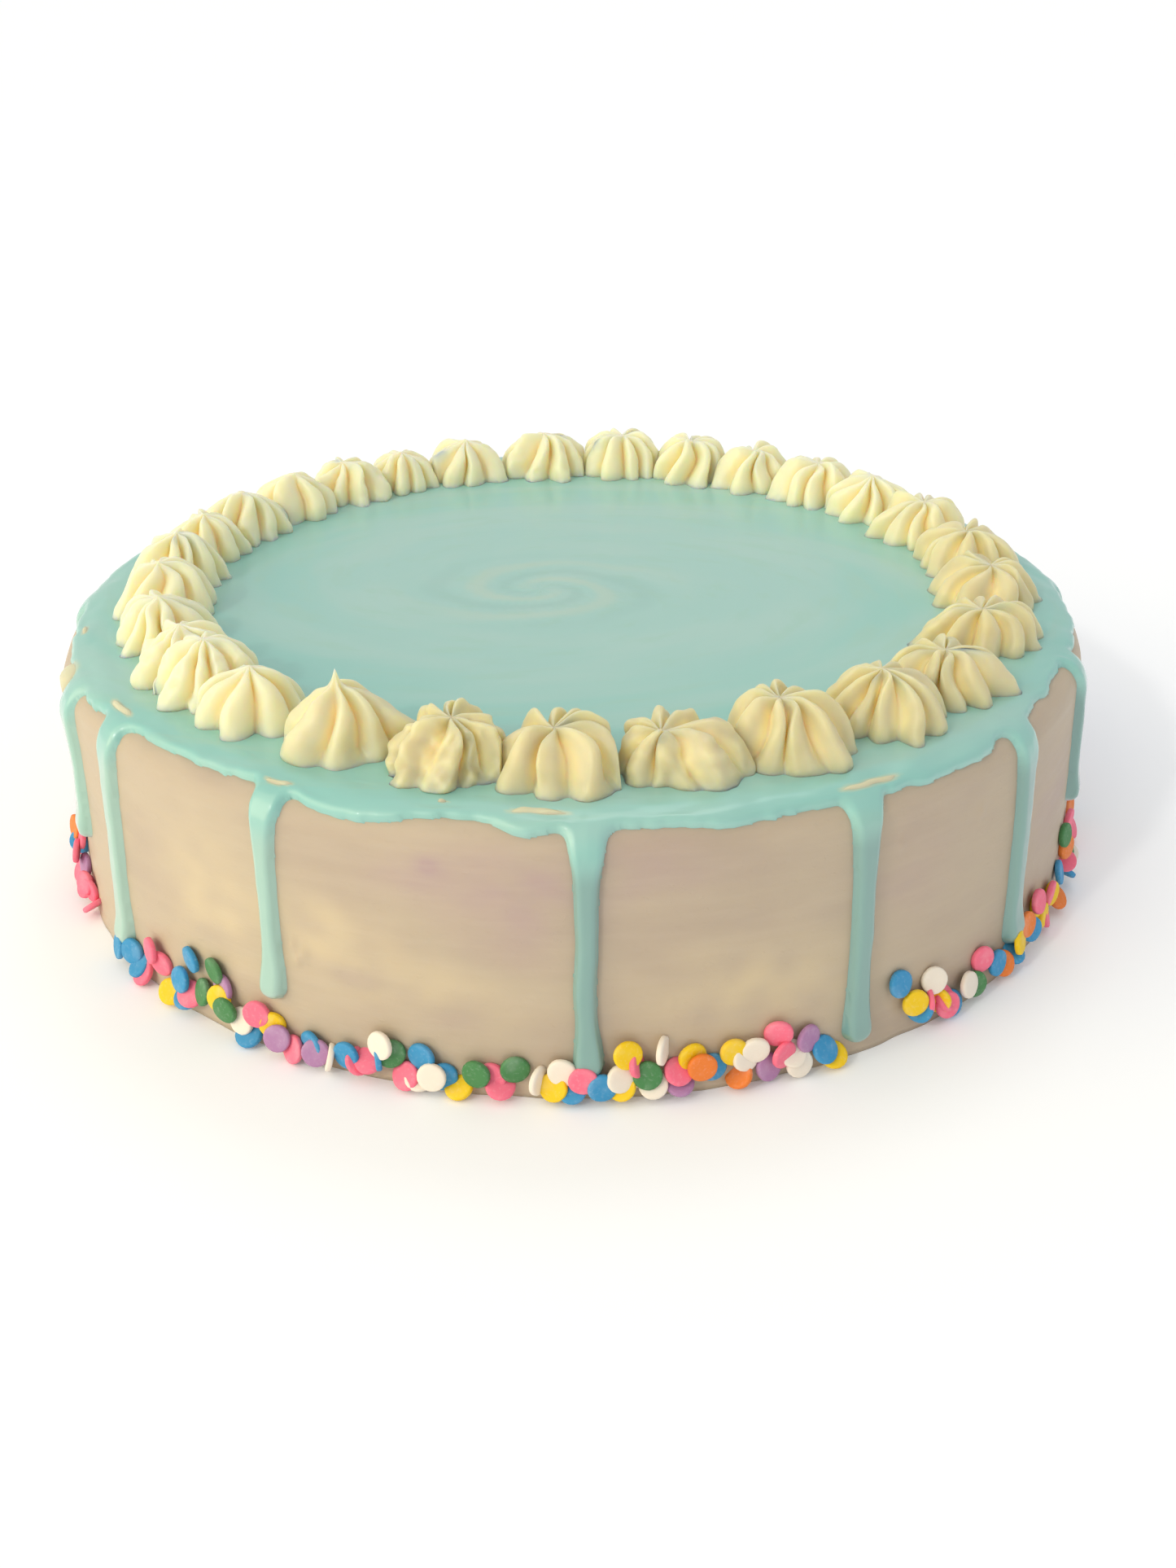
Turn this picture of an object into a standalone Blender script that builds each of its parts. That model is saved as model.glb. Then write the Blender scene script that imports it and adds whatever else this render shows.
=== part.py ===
"""Birthday cake: a round frosted cake with a mint drip glaze, a ring of piped stars and confetti.

Metres, +Z up. The origin is the middle of the flat base, and the front of the cake faces -Y.
Angles are in degrees about +Z from +X, so the front of the cake is at 270.
"""
import math
import random

import bmesh
import bpy
from mathutils import Matrix, Vector

MM = 0.001

# The cake
TOP_RADIUS = 118.0 * MM
FOOT_RADIUS = 120.4 * MM
CAKE_HEIGHT = 56.2 * MM
RIM_ROUND = 6.0 * MM
RIM_RUN = RIM_ROUND * math.pi / 2
FLAT_EDGE = TOP_RADIUS - RIM_ROUND
CAKE_SEGMENTS = 96
RIM_STEPS = 4
SIDE_ROWS = (0.0, 17.0 * MM, 35.0 * MM, 43.0 * MM)

# The skin's unevenness: waves around the side, and a lip that swells at the left corner
SIDE_WAVES = ((2, 40.0, 0.30 * MM), (3, 205.0, 0.22 * MM), (5, 110.0, 0.16 * MM))
LIP_ANGLE = 201.0
LIP_WIDTH = 8.0
LIP_SWELL = 1.2 * MM
LIP_DROP = 7.0 * MM

# The glaze, a closed skin over the top and rim
GLAZE_GAP = 0.70 * MM
GLAZE_LIFT = 1.80 * MM
HEM_LIFT = 1.15 * MM
DRIP_LIFT = 2.60 * MM
CAP_EDGE_RUN = -2.5 * MM
HEM_ROLL = 1.3 * MM
GLAZE_STEP = 4.4
DRIP_COLUMNS = (-1.0, -0.4, 0.4, 1.0)
FLARE_RUN = 3.6 * MM
FLARE_REACH = 3.0 * MM
DRIP_END_ROUND = 1.4 * MM

# Where the glaze ends on the rim: angle, and run over the edge of the flat top in mm
HEM = (
    (12, 4.4), (40, 3.2), (66, 4.8), (88, 3.0), (112, 4.6), (140, 3.6), (166, 4.8), (192, 4.2),
    (211, 4.4), (223, 2.7), (237, 2.3), (249, 5.0), (260, 1.8), (266, 4.6), (276, 3.6), (285, 4.7),
    (291, 4.0), (303, 5.0), (309, 5.5), (316, 4.0), (327, 2.4), (334, 1.9), (344, 4.0),
)

# Each drip: angle, height of its end above the base in mm, and half its width in mm
DRIPS = (
    (205.5, 19.5, 3.3), (217.2, 4.6, 3.2), (240.6, 12.8, 2.8), (270.7, 5.0, 2.9), (296.8, 3.4, 3.2),
    (319.6, 6.4, 3.3), (338.6, 22.0, 3.0), (3.0, 13.5, 2.9), (27.0, 31.0, 3.3), (50.0, 7.5, 2.8),
    (75.0, 22.0, 3.1), (101.0, 37.0, 2.7), (126.0, 12.0, 3.2), (153.0, 27.0, 2.9), (181.0, 8.5, 3.1),
)

# Along a drip: share of its run, share of its half width, and share of its thickness
DRIP_SHAPE = ((0.10, 1.0, 0.85), (0.35, 0.82, 0.85), (0.70, 0.82, 0.9), (0.92, 1.0, 1.0), (1.0, 0.5, 0.75))

# Each piped star: angle, height above the glaze in mm, how domed it is, ridges, and its first ridge's turn
STARS = (
    (7.2, 9.6, 2.9, 9, 12), (20.6, 10.0, 2.8, 9, 30), (33.6, 10.5, 2.6, 10, 5), (46.0, 9.9, 2.8, 9, 22),
    (58.0, 9.9, 2.7, 8, 40), (69.3, 10.6, 2.8, 9, 8), (81.5, 10.6, 2.8, 10, 19), (95.3, 11.3, 2.6, 9, 33),
    (109.5, 10.9, 2.5, 10, 2), (120.7, 9.6, 2.4, 9, 27), (131.4, 9.9, 2.4, 9, 14),
    (142.2, 10.8, 2.4, 8, 30), (154.8, 10.8, 2.3, 9, 6), (166.0, 11.2, 2.3, 8, 24),
    (176.8, 12.0, 2.2, 9, 35), (188.2, 11.8, 2.2, 8, 16), (200.4, 11.2, 2.2, 9, 26),
    (211.2, 10.6, 2.3, 8, 5), (219.6, 12.0, 2.1, 8, 38), (228.2, 11.4, 2.1, 8, 30),
    (242.2, 16.2, 2.0, 7, 0), (256.1, 10.4, 2.8, 9, 0), (267.6, 10.3, 3.2, 9, 0), (279.7, 9.5, 3.4, 8, 0),
    (293.4, 11.2, 2.8, 9, 0), (308.4, 11.4, 2.6, 10, 0), (321.0, 8.9, 2.9, 10, 0), (337.4, 8.8, 2.9, 10, 0),
    (353.0, 9.2, 2.9, 9, 2),
)
STAR_RING_RADIUS = 96.5 * MM
STAR_REACH = 12.0 * MM
STAR_GAP = 0.40 * MM
STAR_SEED = 29
STAR_LEVELS = (0.0, 0.30, 0.55, 0.80)
STAR_CROWDING = 1.28
STAR_STRETCH = 1.36
REACH_ROUND = 0.90
CREST_ROUND = 0.62
VALLEY_DEPTH = 0.50
VALLEY_FEET = (0.74, 0.90)
FOOT_BAND = 0.33
SUNKEN_FROM = 2.6
SUNKEN_DEPTH = 0.25

# The ridges of the front stars: their directions about the star, 0 outward, and their lengths in mm
RIDGES = {
    20: ((328, 12.5), (28, 10.5), (82, 11.5), (122, 17), (175, 11), (225, 11), (277, 12)),
    21: ((8, 12), (42, 9.5), (74, 14.5), (118, 12.5), (160, 10.5), (205, 10), (245, 11), (287, 13),
         (325, 12.5)),
    22: ((352, 11), (33, 14.5), (73, 16.5), (103, 14.5), (137, 12), (170, 10.5), (218, 11), (265, 11.5),
         (312, 13)),
    23: ((350, 9.5), (42, 14.5), (80, 19.5), (128, 14.5), (165, 12), (207, 10), (262, 9), (315, 10)),
    24: ((352, 12.5), (27, 15), (62, 15), (100, 13), (140, 12), (182, 10.5), (222, 11), (265, 12),
         (316, 11)),
    25: ((312, 11.5), (345, 13.5), (16, 14), (62, 15), (100, 11.5), (140, 10.5), (182, 12), (215, 12),
         (250, 12.5), (282, 11.5)),
    26: ((348, 13), (32, 16), (56, 14.5), (85, 12.5), (120, 11.5), (155, 12), (195, 13), (236, 13),
         (276, 11.5), (315, 12.5)),
    27: ((5, 13), (34, 15.5), (58, 13.5), (98, 12.5), (138, 11.5), (177, 12.5), (208, 15), (245, 13.5),
         (285, 12), (325, 11)),
}
# The stars whose valleys are as full at the foot as their ridges
FULL_FEET = (20, 21, 22, 23, 24)
# How far in degrees the seam between a star and the next one is turned from straight outward
SEAM_TURNS = {20: -26.0, 22: 8.0, 23: 30.0, 24: 8.0, 25: -6.0}

# A star's own draws: a ridge's length and shift from its even place, twist, length of a valley, and lean
RIDGE_LENGTHS = (0.84, 1.10)
RIDGE_SHIFT = 0.20
STAR_TWISTS = (8.0, 24.0)
VALLEY_LENGTHS = (0.66, 0.78)
STAR_LEAN = 0.8 * MM

# Piles of confetti around the foot: angle, half its spread in degrees, height in mm, and pieces
PILES = (
    (1, 6, 7, 6), (13, 6, 12, 6), (25, 6, 6, 5), (37, 7, 13, 7), (49, 6, 6, 5), (61, 6, 9, 6),
    (73, 6, 11, 6), (86, 7, 7, 5), (98, 6, 13, 7), (111, 6, 7, 5), (123, 7, 10, 6), (136, 6, 6, 5),
    (148, 6, 12, 6), (160, 6, 8, 5), (172, 6, 10, 6), (183, 5, 7, 5), (192, 3.5, 10, 4),
    (200.5, 2.2, 15.5, 6),
    (205.8, 2.5, 7, 4), (218.5, 3, 6, 4), (227.5, 4, 12, 5), (232, 3.5, 15, 5), (238.5, 5, 10.5, 8),
    (247.5, 4, 6.5, 6), (252.8, 3, 11, 5), (258, 3, 5, 4), (264.8, 4.5, 7, 7), (272.3, 3.5, 6, 5),
    (276.5, 3, 12, 7), (282, 4, 9, 6), (287, 3, 12.5, 5), (291.5, 3.5, 9, 5), (304, 3.5, 13.5, 5),
    (308.5, 4.5, 8, 6), (318, 5, 9, 5), (323, 4, 12, 5), (330.5, 4.5, 9, 6), (338.5, 3.5, 18.5, 7),
    (350, 5, 9, 6),
)
SOLID_SHARE = 0.5
CONFETTI_SEED = 7
CONFETTI_RADIUS = 2.75 * MM
CONFETTI_THICKNESS = 1.2 * MM
CONFETTI_SIDES = 8
CONFETTI_SINK = 0.60 * MM
CONFETTI_MARGIN = 0.8 * MM
CONFETTI_FLOOR = 0.05 * MM
LOW_SHARE = 0.40
LOW_LEANS = (12.0, 58.0)
HIGH_LEANS = (-4.0, 16.0)
FACE_TURN = 22.0
EDGE_ON_EVERY = 7
EDGE_ON_TURN = 62.0
LAYER_STEP = 0.20
ANGLE_STEP = 0.618034
HEIGHT_STEP = 0.754878


def make_material(name, colour, roughness):
    """A plain Principled BSDF."""
    material = bpy.data.materials.new(name)
    material.use_nodes = True
    shader = material.node_tree.nodes["Principled BSDF"]
    shader.inputs["Base Color"].default_value = (*colour, 1.0)
    shader.inputs["Roughness"].default_value = roughness
    shader.inputs["Metallic"].default_value = 0.0
    material.diffuse_color = (*colour, 1.0)
    return material


def make_object(name, bm, material, collection=None):
    """Turn a bmesh into a smooth-shaded object, with its faces pointing out."""
    bmesh.ops.recalc_face_normals(bm, faces=bm.faces)
    bmesh.ops.triangulate(bm, faces=bm.faces)
    mesh = bpy.data.meshes.new(name)
    bm.to_mesh(mesh)
    bm.free()
    mesh.materials.append(material)
    mesh.shade_smooth()
    mesh.set_sharp_from_angle(angle=math.radians(50.0))
    new_object = bpy.data.objects.new(name, mesh)
    (collection or bpy.context.scene.collection).objects.link(new_object)
    return new_object


def turn_between(first, second):
    """The signed turn in degrees from the first angle to the second, within half a circle."""
    return (second - first + 180.0) % 360.0 - 180.0


def side_bulge(angle, height):
    """How far the uneven side stands out of a true cone."""
    waves = 0.0
    for count, phase, size in SIDE_WAVES:
        waves += size * math.sin(math.radians(count * angle + phase))
    across = turn_between(LIP_ANGLE, angle) / LIP_WIDTH
    down = (CAKE_HEIGHT - LIP_DROP - height) / LIP_DROP
    return waves + LIP_SWELL * math.exp(-across * across - down * down)


def skin_point(angle, run, lift):
    """A point above the frosting. The run starts at the edge of the flat top and goes down the side."""
    if run < 0.0:
        radius, height = FLAT_EDGE + run, CAKE_HEIGHT + lift
    elif run < RIM_RUN:
        lean = run / RIM_ROUND
        radius = FLAT_EDGE + (RIM_ROUND + lift) * math.sin(lean)
        height = CAKE_HEIGHT - RIM_ROUND + (RIM_ROUND + lift) * math.cos(lean)
    else:
        height = CAKE_HEIGHT - RIM_ROUND - (run - RIM_RUN)
        spread = (FOOT_RADIUS - TOP_RADIUS) * (1.0 - height / (CAKE_HEIGHT - RIM_ROUND))
        radius = TOP_RADIUS + spread + lift
    radius += side_bulge(angle, height) * min(1.0, max(0.0, run / RIM_RUN + 0.5))
    turn = math.radians(angle)
    return Vector((radius * math.cos(turn), radius * math.sin(turn), height))


def run_at(height):
    """The run down the straight side to a height above the base."""
    return RIM_RUN + CAKE_HEIGHT - RIM_ROUND - height


def loft(bm, rings, tip=None):
    """Join closed rings of points into a body, capped at its first ring and at its last or its tip."""
    rows = [[bm.verts.new(point) for point in ring] for ring in rings]
    count = len(rows[0])
    bm.faces.new(rows[0])
    for low, high in zip(rows, rows[1:]):
        for i in range(count):
            bm.faces.new((low[i], low[(i + 1) % count], high[(i + 1) % count], high[i]))
    if tip is None:
        bm.faces.new(rows[-1])
        return
    peak = bm.verts.new(tip)
    for i in range(count):
        bm.faces.new((rows[-1][i], rows[-1][(i + 1) % count], peak))


def blend(low, high, share):
    """The number a share of the way from low to high."""
    return low + (high - low) * share


def confetti_places():
    """Each piece of confetti in turn: its angle, height, lean back, turn of its face, and roll."""
    draw = random.Random(CONFETTI_SEED)
    for middle, spread, top, count in PILES:
        first_angle, first_height = draw.random(), draw.random()
        for i in range(round(count * SOLID_SHARE)):
            across = (first_angle + i * ANGLE_STEP) % 1.0
            share = (first_height + i * HEIGHT_STEP) % 1.0
            angle = middle + spread * (2.0 * across - 1.0)
            lean = draw.uniform(*(LOW_LEANS if share < LOW_SHARE else HIGH_LEANS))
            turned = draw.uniform(-FACE_TURN, FACE_TURN)
            if draw.randrange(EDGE_ON_EVERY) == 0:
                turned = math.copysign(EDGE_ON_TURN, turned)
            half_rise = CONFETTI_RADIUS * math.cos(math.radians(lean))
            half_rise += CONFETTI_THICKNESS / 2 * abs(math.sin(math.radians(lean)))
            height = half_rise + CONFETTI_FLOOR + max(0.0, top * MM - half_rise) * share
            yield angle % 360.0, height, lean, turned, draw.uniform(0.0, 45.0)


def confetti_pose(place, layer):
    """The matrix that lays a disc, made flat about its own Z, against the side or on other pieces."""
    angle, height, lean, turned, roll = place
    facing = math.cos(math.radians(lean)) * math.cos(math.radians(turned))
    stand_off = CONFETTI_RADIUS * math.sqrt(1.0 - facing * facing) + CONFETTI_THICKNESS / 2 * facing
    stand_off += layer * LAYER_STEP * CONFETTI_THICKNESS - CONFETTI_SINK
    spin = Matrix.Rotation(math.radians(roll), 4, "Z")
    tilt = Matrix.Rotation(math.radians(90.0 - lean), 4, "Y")
    face = Matrix.Rotation(math.radians(angle + turned), 4, "Z")
    return Matrix.Translation(skin_point(angle, run_at(height), stand_off)) @ face @ tilt @ spin


def clear_of_drips(angle, height):
    """Whether a piece of confetti at this place leaves the drips free."""
    for drip_angle, drip_end, half_width in DRIPS:
        aside = abs(math.radians(turn_between(drip_angle, angle))) * FOOT_RADIUS
        reach = half_width * MM + CONFETTI_RADIUS + CONFETTI_MARGIN
        if aside < reach and height > drip_end * MM - CONFETTI_RADIUS - CONFETTI_MARGIN:
            return False
    return True


def make_confetti(material):
    """The discs that stand out of the frosting, in a collection of their own."""
    collection = bpy.data.collections.new("confetti")
    bpy.context.scene.collection.children.link(collection)
    laid = []
    for place in confetti_places():
        if not clear_of_drips(place[0], place[1]):
            continue
        spot = skin_point(place[0], run_at(place[1]), 0.0)
        layer = min(2, sum((spot - other).length < CONFETTI_RADIUS * 1.4 for other in laid))
        laid.append(spot)
        bm = bmesh.new()
        bmesh.ops.create_cone(
            bm, cap_ends=True, segments=CONFETTI_SIDES, radius1=CONFETTI_RADIUS,
            radius2=CONFETTI_RADIUS, depth=CONFETTI_THICKNESS, matrix=confetti_pose(place, layer))
        make_object(f"disc_{len(laid):03d}", bm, material, collection)
    return collection


def make_cake():
    """The frosted cake in one solid body, with the confetti fused to its side."""
    frosting = make_material("frosting", (0.80, 0.66, 0.46), 0.55)
    runs = [run_at(height) for height in SIDE_ROWS]
    runs += [RIM_RUN * (RIM_STEPS - i) / RIM_STEPS for i in range(RIM_STEPS + 1)]
    angles = [360.0 * i / CAKE_SEGMENTS for i in range(CAKE_SEGMENTS)]
    bm = bmesh.new()
    loft(bm, [[skin_point(angle, run, 0.0) for angle in angles] for run in runs])
    cake = make_object("cake", bm, frosting)
    confetti = make_confetti(frosting)
    fuse = cake.modifiers.new("fuse_confetti", "BOOLEAN")
    fuse.operation = "UNION"
    fuse.operand_type = "COLLECTION"
    fuse.collection = confetti
    fuse.solver = "EXACT"
    bpy.context.view_layer.objects.active = cake
    bpy.ops.object.modifier_apply(modifier=fuse.name)
    for disc in list(confetti.objects):
        bpy.data.objects.remove(disc)
    bpy.data.collections.remove(confetti)
    return cake


def hem_run(angle):
    """How far the glaze runs over the edge of the flat top, eased between the named places."""
    points = [(place + turn, run) for turn in (-360.0, 0.0, 360.0) for place, run in HEM]
    for (low, low_run), (high, high_run) in zip(points, points[1:]):
        if low <= angle % 360.0 <= high:
            share = (angle % 360.0 - low) / (high - low)
            ease = share * share * (3.0 - 2.0 * share)
            run = blend(low_run, high_run, ease) * MM
            break
    for drip_angle, _, half_width in DRIPS:
        aside = abs(math.radians(turn_between(drip_angle, angle))) * TOP_RADIUS - half_width * MM
        run += FLARE_RUN * math.exp(-max(0.0, aside) / FLARE_REACH)
    return run


def glaze_columns():
    """The angles at which the glaze is drawn: four on each drip and even steps between drips."""
    columns = []
    order = sorted(DRIPS)
    for drip, after in zip(order, order[1:] + order[:1]):
        width = math.degrees(drip[2] * MM / TOP_RADIUS)
        after_width = math.degrees(after[2] * MM / TOP_RADIUS)
        columns += [(drip[0] + side * width, drip, side) for side in DRIP_COLUMNS]
        start = drip[0] + width
        free = (after[0] - after_width - start) % 360.0
        steps = max(2, round(free / GLAZE_STEP))
        columns += [(start + free * i / steps, None, 0.0) for i in range(1, steps)]
    return columns


def glaze_point(column, row, inner):
    """The grid point of a column: rows 0 to 3 cross the rim, and the later rows follow the drip."""
    angle, drip, side = column
    hem = hem_run(angle)
    if row < 4:
        run = (CAP_EDGE_RUN, 0.0, (hem - HEM_ROLL / 2) / 2, hem)[row]
        edge = row == 3 and (drip is None or abs(side) == 1.0)
        lift = HEM_LIFT if edge else GLAZE_LIFT
    else:
        along, width_share, lift_share = DRIP_SHAPE[row - 4]
        run = hem + (run_at(drip[1] * MM) - hem) * along
        if abs(side) == 1.0:
            run -= DRIP_END_ROUND * along ** 8
        angle = drip[0] + math.degrees(side * width_share * drip[2] * MM / TOP_RADIUS)
        lift = HEM_LIFT if abs(side) == 1.0 else DRIP_LIFT * lift_share
    return skin_point(angle, run, GLAZE_GAP if inner else lift)


def make_glaze():
    """The glaze as a closed thin skin: an outer sheet, the same sheet under it, and their joined edges."""
    columns = glaze_columns()
    bm = bmesh.new()
    sheets = []
    for inner in (False, True):
        sheet = {}
        for i, column in enumerate(columns):
            rows = 4 if column[1] is None else 4 + len(DRIP_SHAPE)
            for row in range(rows):
                sheet[i, row] = bm.verts.new(glaze_point(column, row, inner))
        sheets.append(sheet)
    outer, under = sheets
    count = len(columns)
    for sheet in sheets:
        bm.faces.new([sheet[i, 0] for i in range(count)])
        for i in range(count):
            j = (i + 1) % count
            on_drip = columns[i][1] is not None and columns[i][1] == columns[j][1] and columns[i][2] < 1.0
            for row in range(3 + (len(DRIP_SHAPE) if on_drip else 0)):
                bm.faces.new((sheet[i, row], sheet[j, row], sheet[j, row + 1], sheet[i, row + 1]))
    partner = {outer[key]: under[key] for key in outer}
    for edge in [edge for edge in bm.edges if edge.is_boundary and edge.verts[0] in partner]:
        first, second = edge.verts
        bm.faces.new((first, second, partner[second], partner[first]))
    glaze = make_material("mint_glaze", (0.44, 0.68, 0.58), 0.25)
    return make_object("drip_glaze", bm, glaze)


def star_shape(index):
    """A star's own numbers: its ridges' directions and lengths, its twist, valleys and lean."""
    draw = random.Random(STAR_SEED * 100 + index)
    count, first = STARS[index][3:]
    (low, _), (high, _) = star_seams(index)
    stretch = min(STAR_STRETCH, max(1.0, STAR_CROWDING * (high - low) / 2 / STAR_REACH))
    ridges = []
    for i in range(count):
        turn = first + (i + draw.uniform(-RIDGE_SHIFT, RIDGE_SHIFT)) * 360.0 / count
        aside = abs(math.sin(math.radians(turn)))
        ridges.append((turn, draw.uniform(*RIDGE_LENGTHS) * STAR_REACH * blend(1.0, stretch, aside)))
    if index in RIDGES:
        ridges = sorted((turn, length * MM) for turn, length in RIDGES[index])
    return {
        "ridges": ridges + [(ridges[0][0] + 360.0, ridges[0][1])],
        "twist": draw.uniform(*STAR_TWISTS),
        "valley": draw.uniform(*VALLEY_LENGTHS),
        "foot": VALLEY_FEET[index in FULL_FEET],
        "lean": (draw.uniform(-STAR_LEAN, STAR_LEAN), draw.uniform(-STAR_LEAN, STAR_LEAN)),
    }


def star_profile(level, domed):
    """A ridge's reach, and the star's height on a crest and in a valley, all as shares."""
    reach = max(0.0, math.cos(level * math.pi / 2)) ** REACH_ROUND
    crest_rise = (1.0 - reach ** domed) ** CREST_ROUND
    sunken = max(0.0, domed - SUNKEN_FROM) * SUNKEN_DEPTH * (1.0 - reach) ** 2
    return reach, crest_rise - sunken, blend(crest_rise, 1.0 - reach, VALLEY_DEPTH) - sunken


def star_seams(index):
    """The seams with the star before and the star after: offset along the ring, and slope."""
    seams = []
    for first in ((index - 1) % len(STARS), index):
        start = STARS[first][0]
        half = turn_between(start, STARS[(first + 1) % len(STARS)][0]) / 2
        middle = turn_between(STARS[index][0], start + half)
        slope = math.tan(math.radians(middle + SEAM_TURNS.get(first, 0.0)))
        seams.append((STAR_RING_RADIUS * math.tan(math.radians(middle)), slope))
    return seams


def star_point(index, shape, ridge, in_valley, level):
    """A point of a star in the cake's frame, kept on its own side of the seams with its neighbours."""
    angle, height, domed = STARS[index][:3]
    reach, crest_rise, rise = star_profile(level, domed)
    turn, length = shape["ridges"][ridge]
    if in_valley:
        next_turn, next_length = shape["ridges"][ridge + 1]
        turn = (turn + next_turn) / 2
        drawn_in = blend(shape["foot"], shape["valley"], min(1.0, crest_rise / FOOT_BAND))
        length = (length + next_length) / 2 * drawn_in
    else:
        rise = crest_rise
    length *= reach
    around = math.radians(turn + shape["twist"] * (1.0 - reach))
    outward = STAR_RING_RADIUS + length * math.cos(around) + shape["lean"][0] * (1.0 - reach)
    along = length * math.sin(around) + shape["lean"][1] * (1.0 - reach)
    (low, low_slope), (high, high_slope) = star_seams(index)
    along = min(along, high + high_slope * (outward - STAR_RING_RADIUS) - STAR_GAP / 2)
    along = max(along, low + low_slope * (outward - STAR_RING_RADIUS) + STAR_GAP / 2)
    foot = CAKE_HEIGHT + GLAZE_LIFT + STAR_GAP
    local = Vector((outward, along, foot + rise * (height * MM - STAR_GAP)))
    return Matrix.Rotation(math.radians(angle), 4, "Z") @ local


def make_star(index, material):
    """One piped star: rings of ridges and valleys from the foot up to the tip."""
    shape = star_shape(index)
    places = [(ridge, in_valley) for ridge in range(STARS[index][3]) for in_valley in (False, True)]
    rings = []
    for level in STAR_LEVELS:
        rings.append([star_point(index, shape, ridge, in_valley, level) for ridge, in_valley in places])
    bm = bmesh.new()
    loft(bm, rings, star_point(index, shape, 0, False, 1.0))
    return make_object(f"rosette_{index + 1:02d}", bm, material)


def main():
    for old in list(bpy.data.objects):
        bpy.data.objects.remove(old)
    make_cake()
    make_glaze()
    buttercream = make_material("buttercream", (0.83, 0.74, 0.45), 0.45)
    for index in range(len(STARS)):
        make_star(index, buttercream)


main()
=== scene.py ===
"""Looks for the birthday cake: frosting, mint drip glaze, piped stars and confetti.

Metres, +Z up, the front of the cake faces -Y. Angles are in degrees about +Z from +X.
"""
import math
import random

import bmesh
import bpy
from mathutils import Matrix, Vector, noise


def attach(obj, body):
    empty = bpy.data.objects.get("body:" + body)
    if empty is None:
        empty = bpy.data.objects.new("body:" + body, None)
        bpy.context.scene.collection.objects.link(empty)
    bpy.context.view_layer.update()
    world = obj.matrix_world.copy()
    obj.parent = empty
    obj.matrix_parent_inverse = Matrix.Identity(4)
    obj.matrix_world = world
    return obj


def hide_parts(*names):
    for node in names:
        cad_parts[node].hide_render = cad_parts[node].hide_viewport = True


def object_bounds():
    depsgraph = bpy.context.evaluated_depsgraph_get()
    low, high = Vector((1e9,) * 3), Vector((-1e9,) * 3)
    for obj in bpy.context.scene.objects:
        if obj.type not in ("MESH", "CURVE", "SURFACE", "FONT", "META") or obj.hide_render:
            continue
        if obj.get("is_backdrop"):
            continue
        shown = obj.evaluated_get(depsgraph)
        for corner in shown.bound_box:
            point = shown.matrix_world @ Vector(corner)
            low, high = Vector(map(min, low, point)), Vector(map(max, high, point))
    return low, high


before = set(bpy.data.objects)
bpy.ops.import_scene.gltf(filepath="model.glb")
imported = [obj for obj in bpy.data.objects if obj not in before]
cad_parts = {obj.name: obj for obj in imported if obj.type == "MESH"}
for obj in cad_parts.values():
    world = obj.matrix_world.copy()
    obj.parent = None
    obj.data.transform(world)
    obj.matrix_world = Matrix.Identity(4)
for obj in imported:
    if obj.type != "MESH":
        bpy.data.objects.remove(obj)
cad_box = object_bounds()

MM = 0.001

# Photograph's camera: how it looks at a point on the cake's axis
FOCAL_PIXELS = 1900.0
IMAGE_HEIGHT = 1926.0
SENSOR = 36.0
AIM_HEIGHT = 35.4 * MM
CAMERA_DISTANCE = 384.3 * MM
CAMERA_PITCH = 23.79
CAMERA_TILT = -4.18
CAMERA_ROLL = -0.43
CAMERA_YAW = 0.41

# The cake's skin, as its solid has it
TOP_RADIUS = 118.0 * MM
FOOT_RADIUS = 120.4 * MM
CAKE_HEIGHT = 56.2 * MM
RIM_ROUND = 6.0 * MM
RIM_RUN = RIM_ROUND * math.pi / 2
FLAT_EDGE = TOP_RADIUS - RIM_ROUND
SIDE_WAVES = ((2, 40.0, 0.30 * MM), (3, 205.0, 0.22 * MM), (5, 110.0, 0.16 * MM))
LIP_ANGLE = 201.0
LIP_WIDTH = 8.0
LIP_SWELL = 1.2 * MM
LIP_DROP = 7.0 * MM

# The glaze: where it ends on the rim (angle, run in mm), and its drips (angle, end in mm, half width in mm)
GLAZE_LIFT = 1.80 * MM
DRIP_LIFT = 2.05 * MM
HEM = (
    (12, 4.4), (40, 3.2), (66, 4.8), (88, 3.0), (112, 4.6), (140, 3.6), (166, 4.8), (192, 4.2),
    (211, 4.4), (223, 2.7), (237, 2.3), (249, 5.0), (260, 1.8), (266, 4.6), (276, 3.6), (285, 4.7),
    (291, 4.0), (303, 5.0), (309, 5.5), (316, 4.0), (327, 2.4), (334, 1.9), (344, 4.0),
)
DRIPS = (
    (205.5, 19.5, 3.3), (217.2, 4.6, 3.2), (240.6, 12.8, 2.8), (270.7, 5.0, 2.9), (296.8, 3.4, 3.2),
    (319.6, 6.4, 3.3), (338.6, 22.0, 3.0), (3.0, 13.5, 2.9), (27.0, 31.0, 3.3), (50.0, 7.5, 2.8),
    (75.0, 22.0, 3.1), (101.0, 37.0, 2.7), (126.0, 12.0, 3.2), (153.0, 27.0, 2.9), (181.0, 8.5, 3.1),
)
# Where the frosting's rim shows through the glaze: angle, run, half length and half height in mm
RIM_BARE = (
    (192.9, 1.2, 3.0, 0.8), (202.0, 5.0, 4.0, 3.0), (216.0, 1.2, 6.0, 0.9), (241.0, 1.3, 4.0, 0.7),
    (257.4, -1.2, 1.2, 0.6), (266.5, 0.4, 7.0, 0.8), (298.0, 2.2, 8.0, 0.9), (34.0, 1.6, 6.0, 0.9),
    (84.0, 1.0, 5.0, 0.8), (122.0, 1.8, 7.0, 0.9), (160.0, 1.2, 4.0, 0.8),
)
BARE_LIFT = 2.15 * MM
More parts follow.
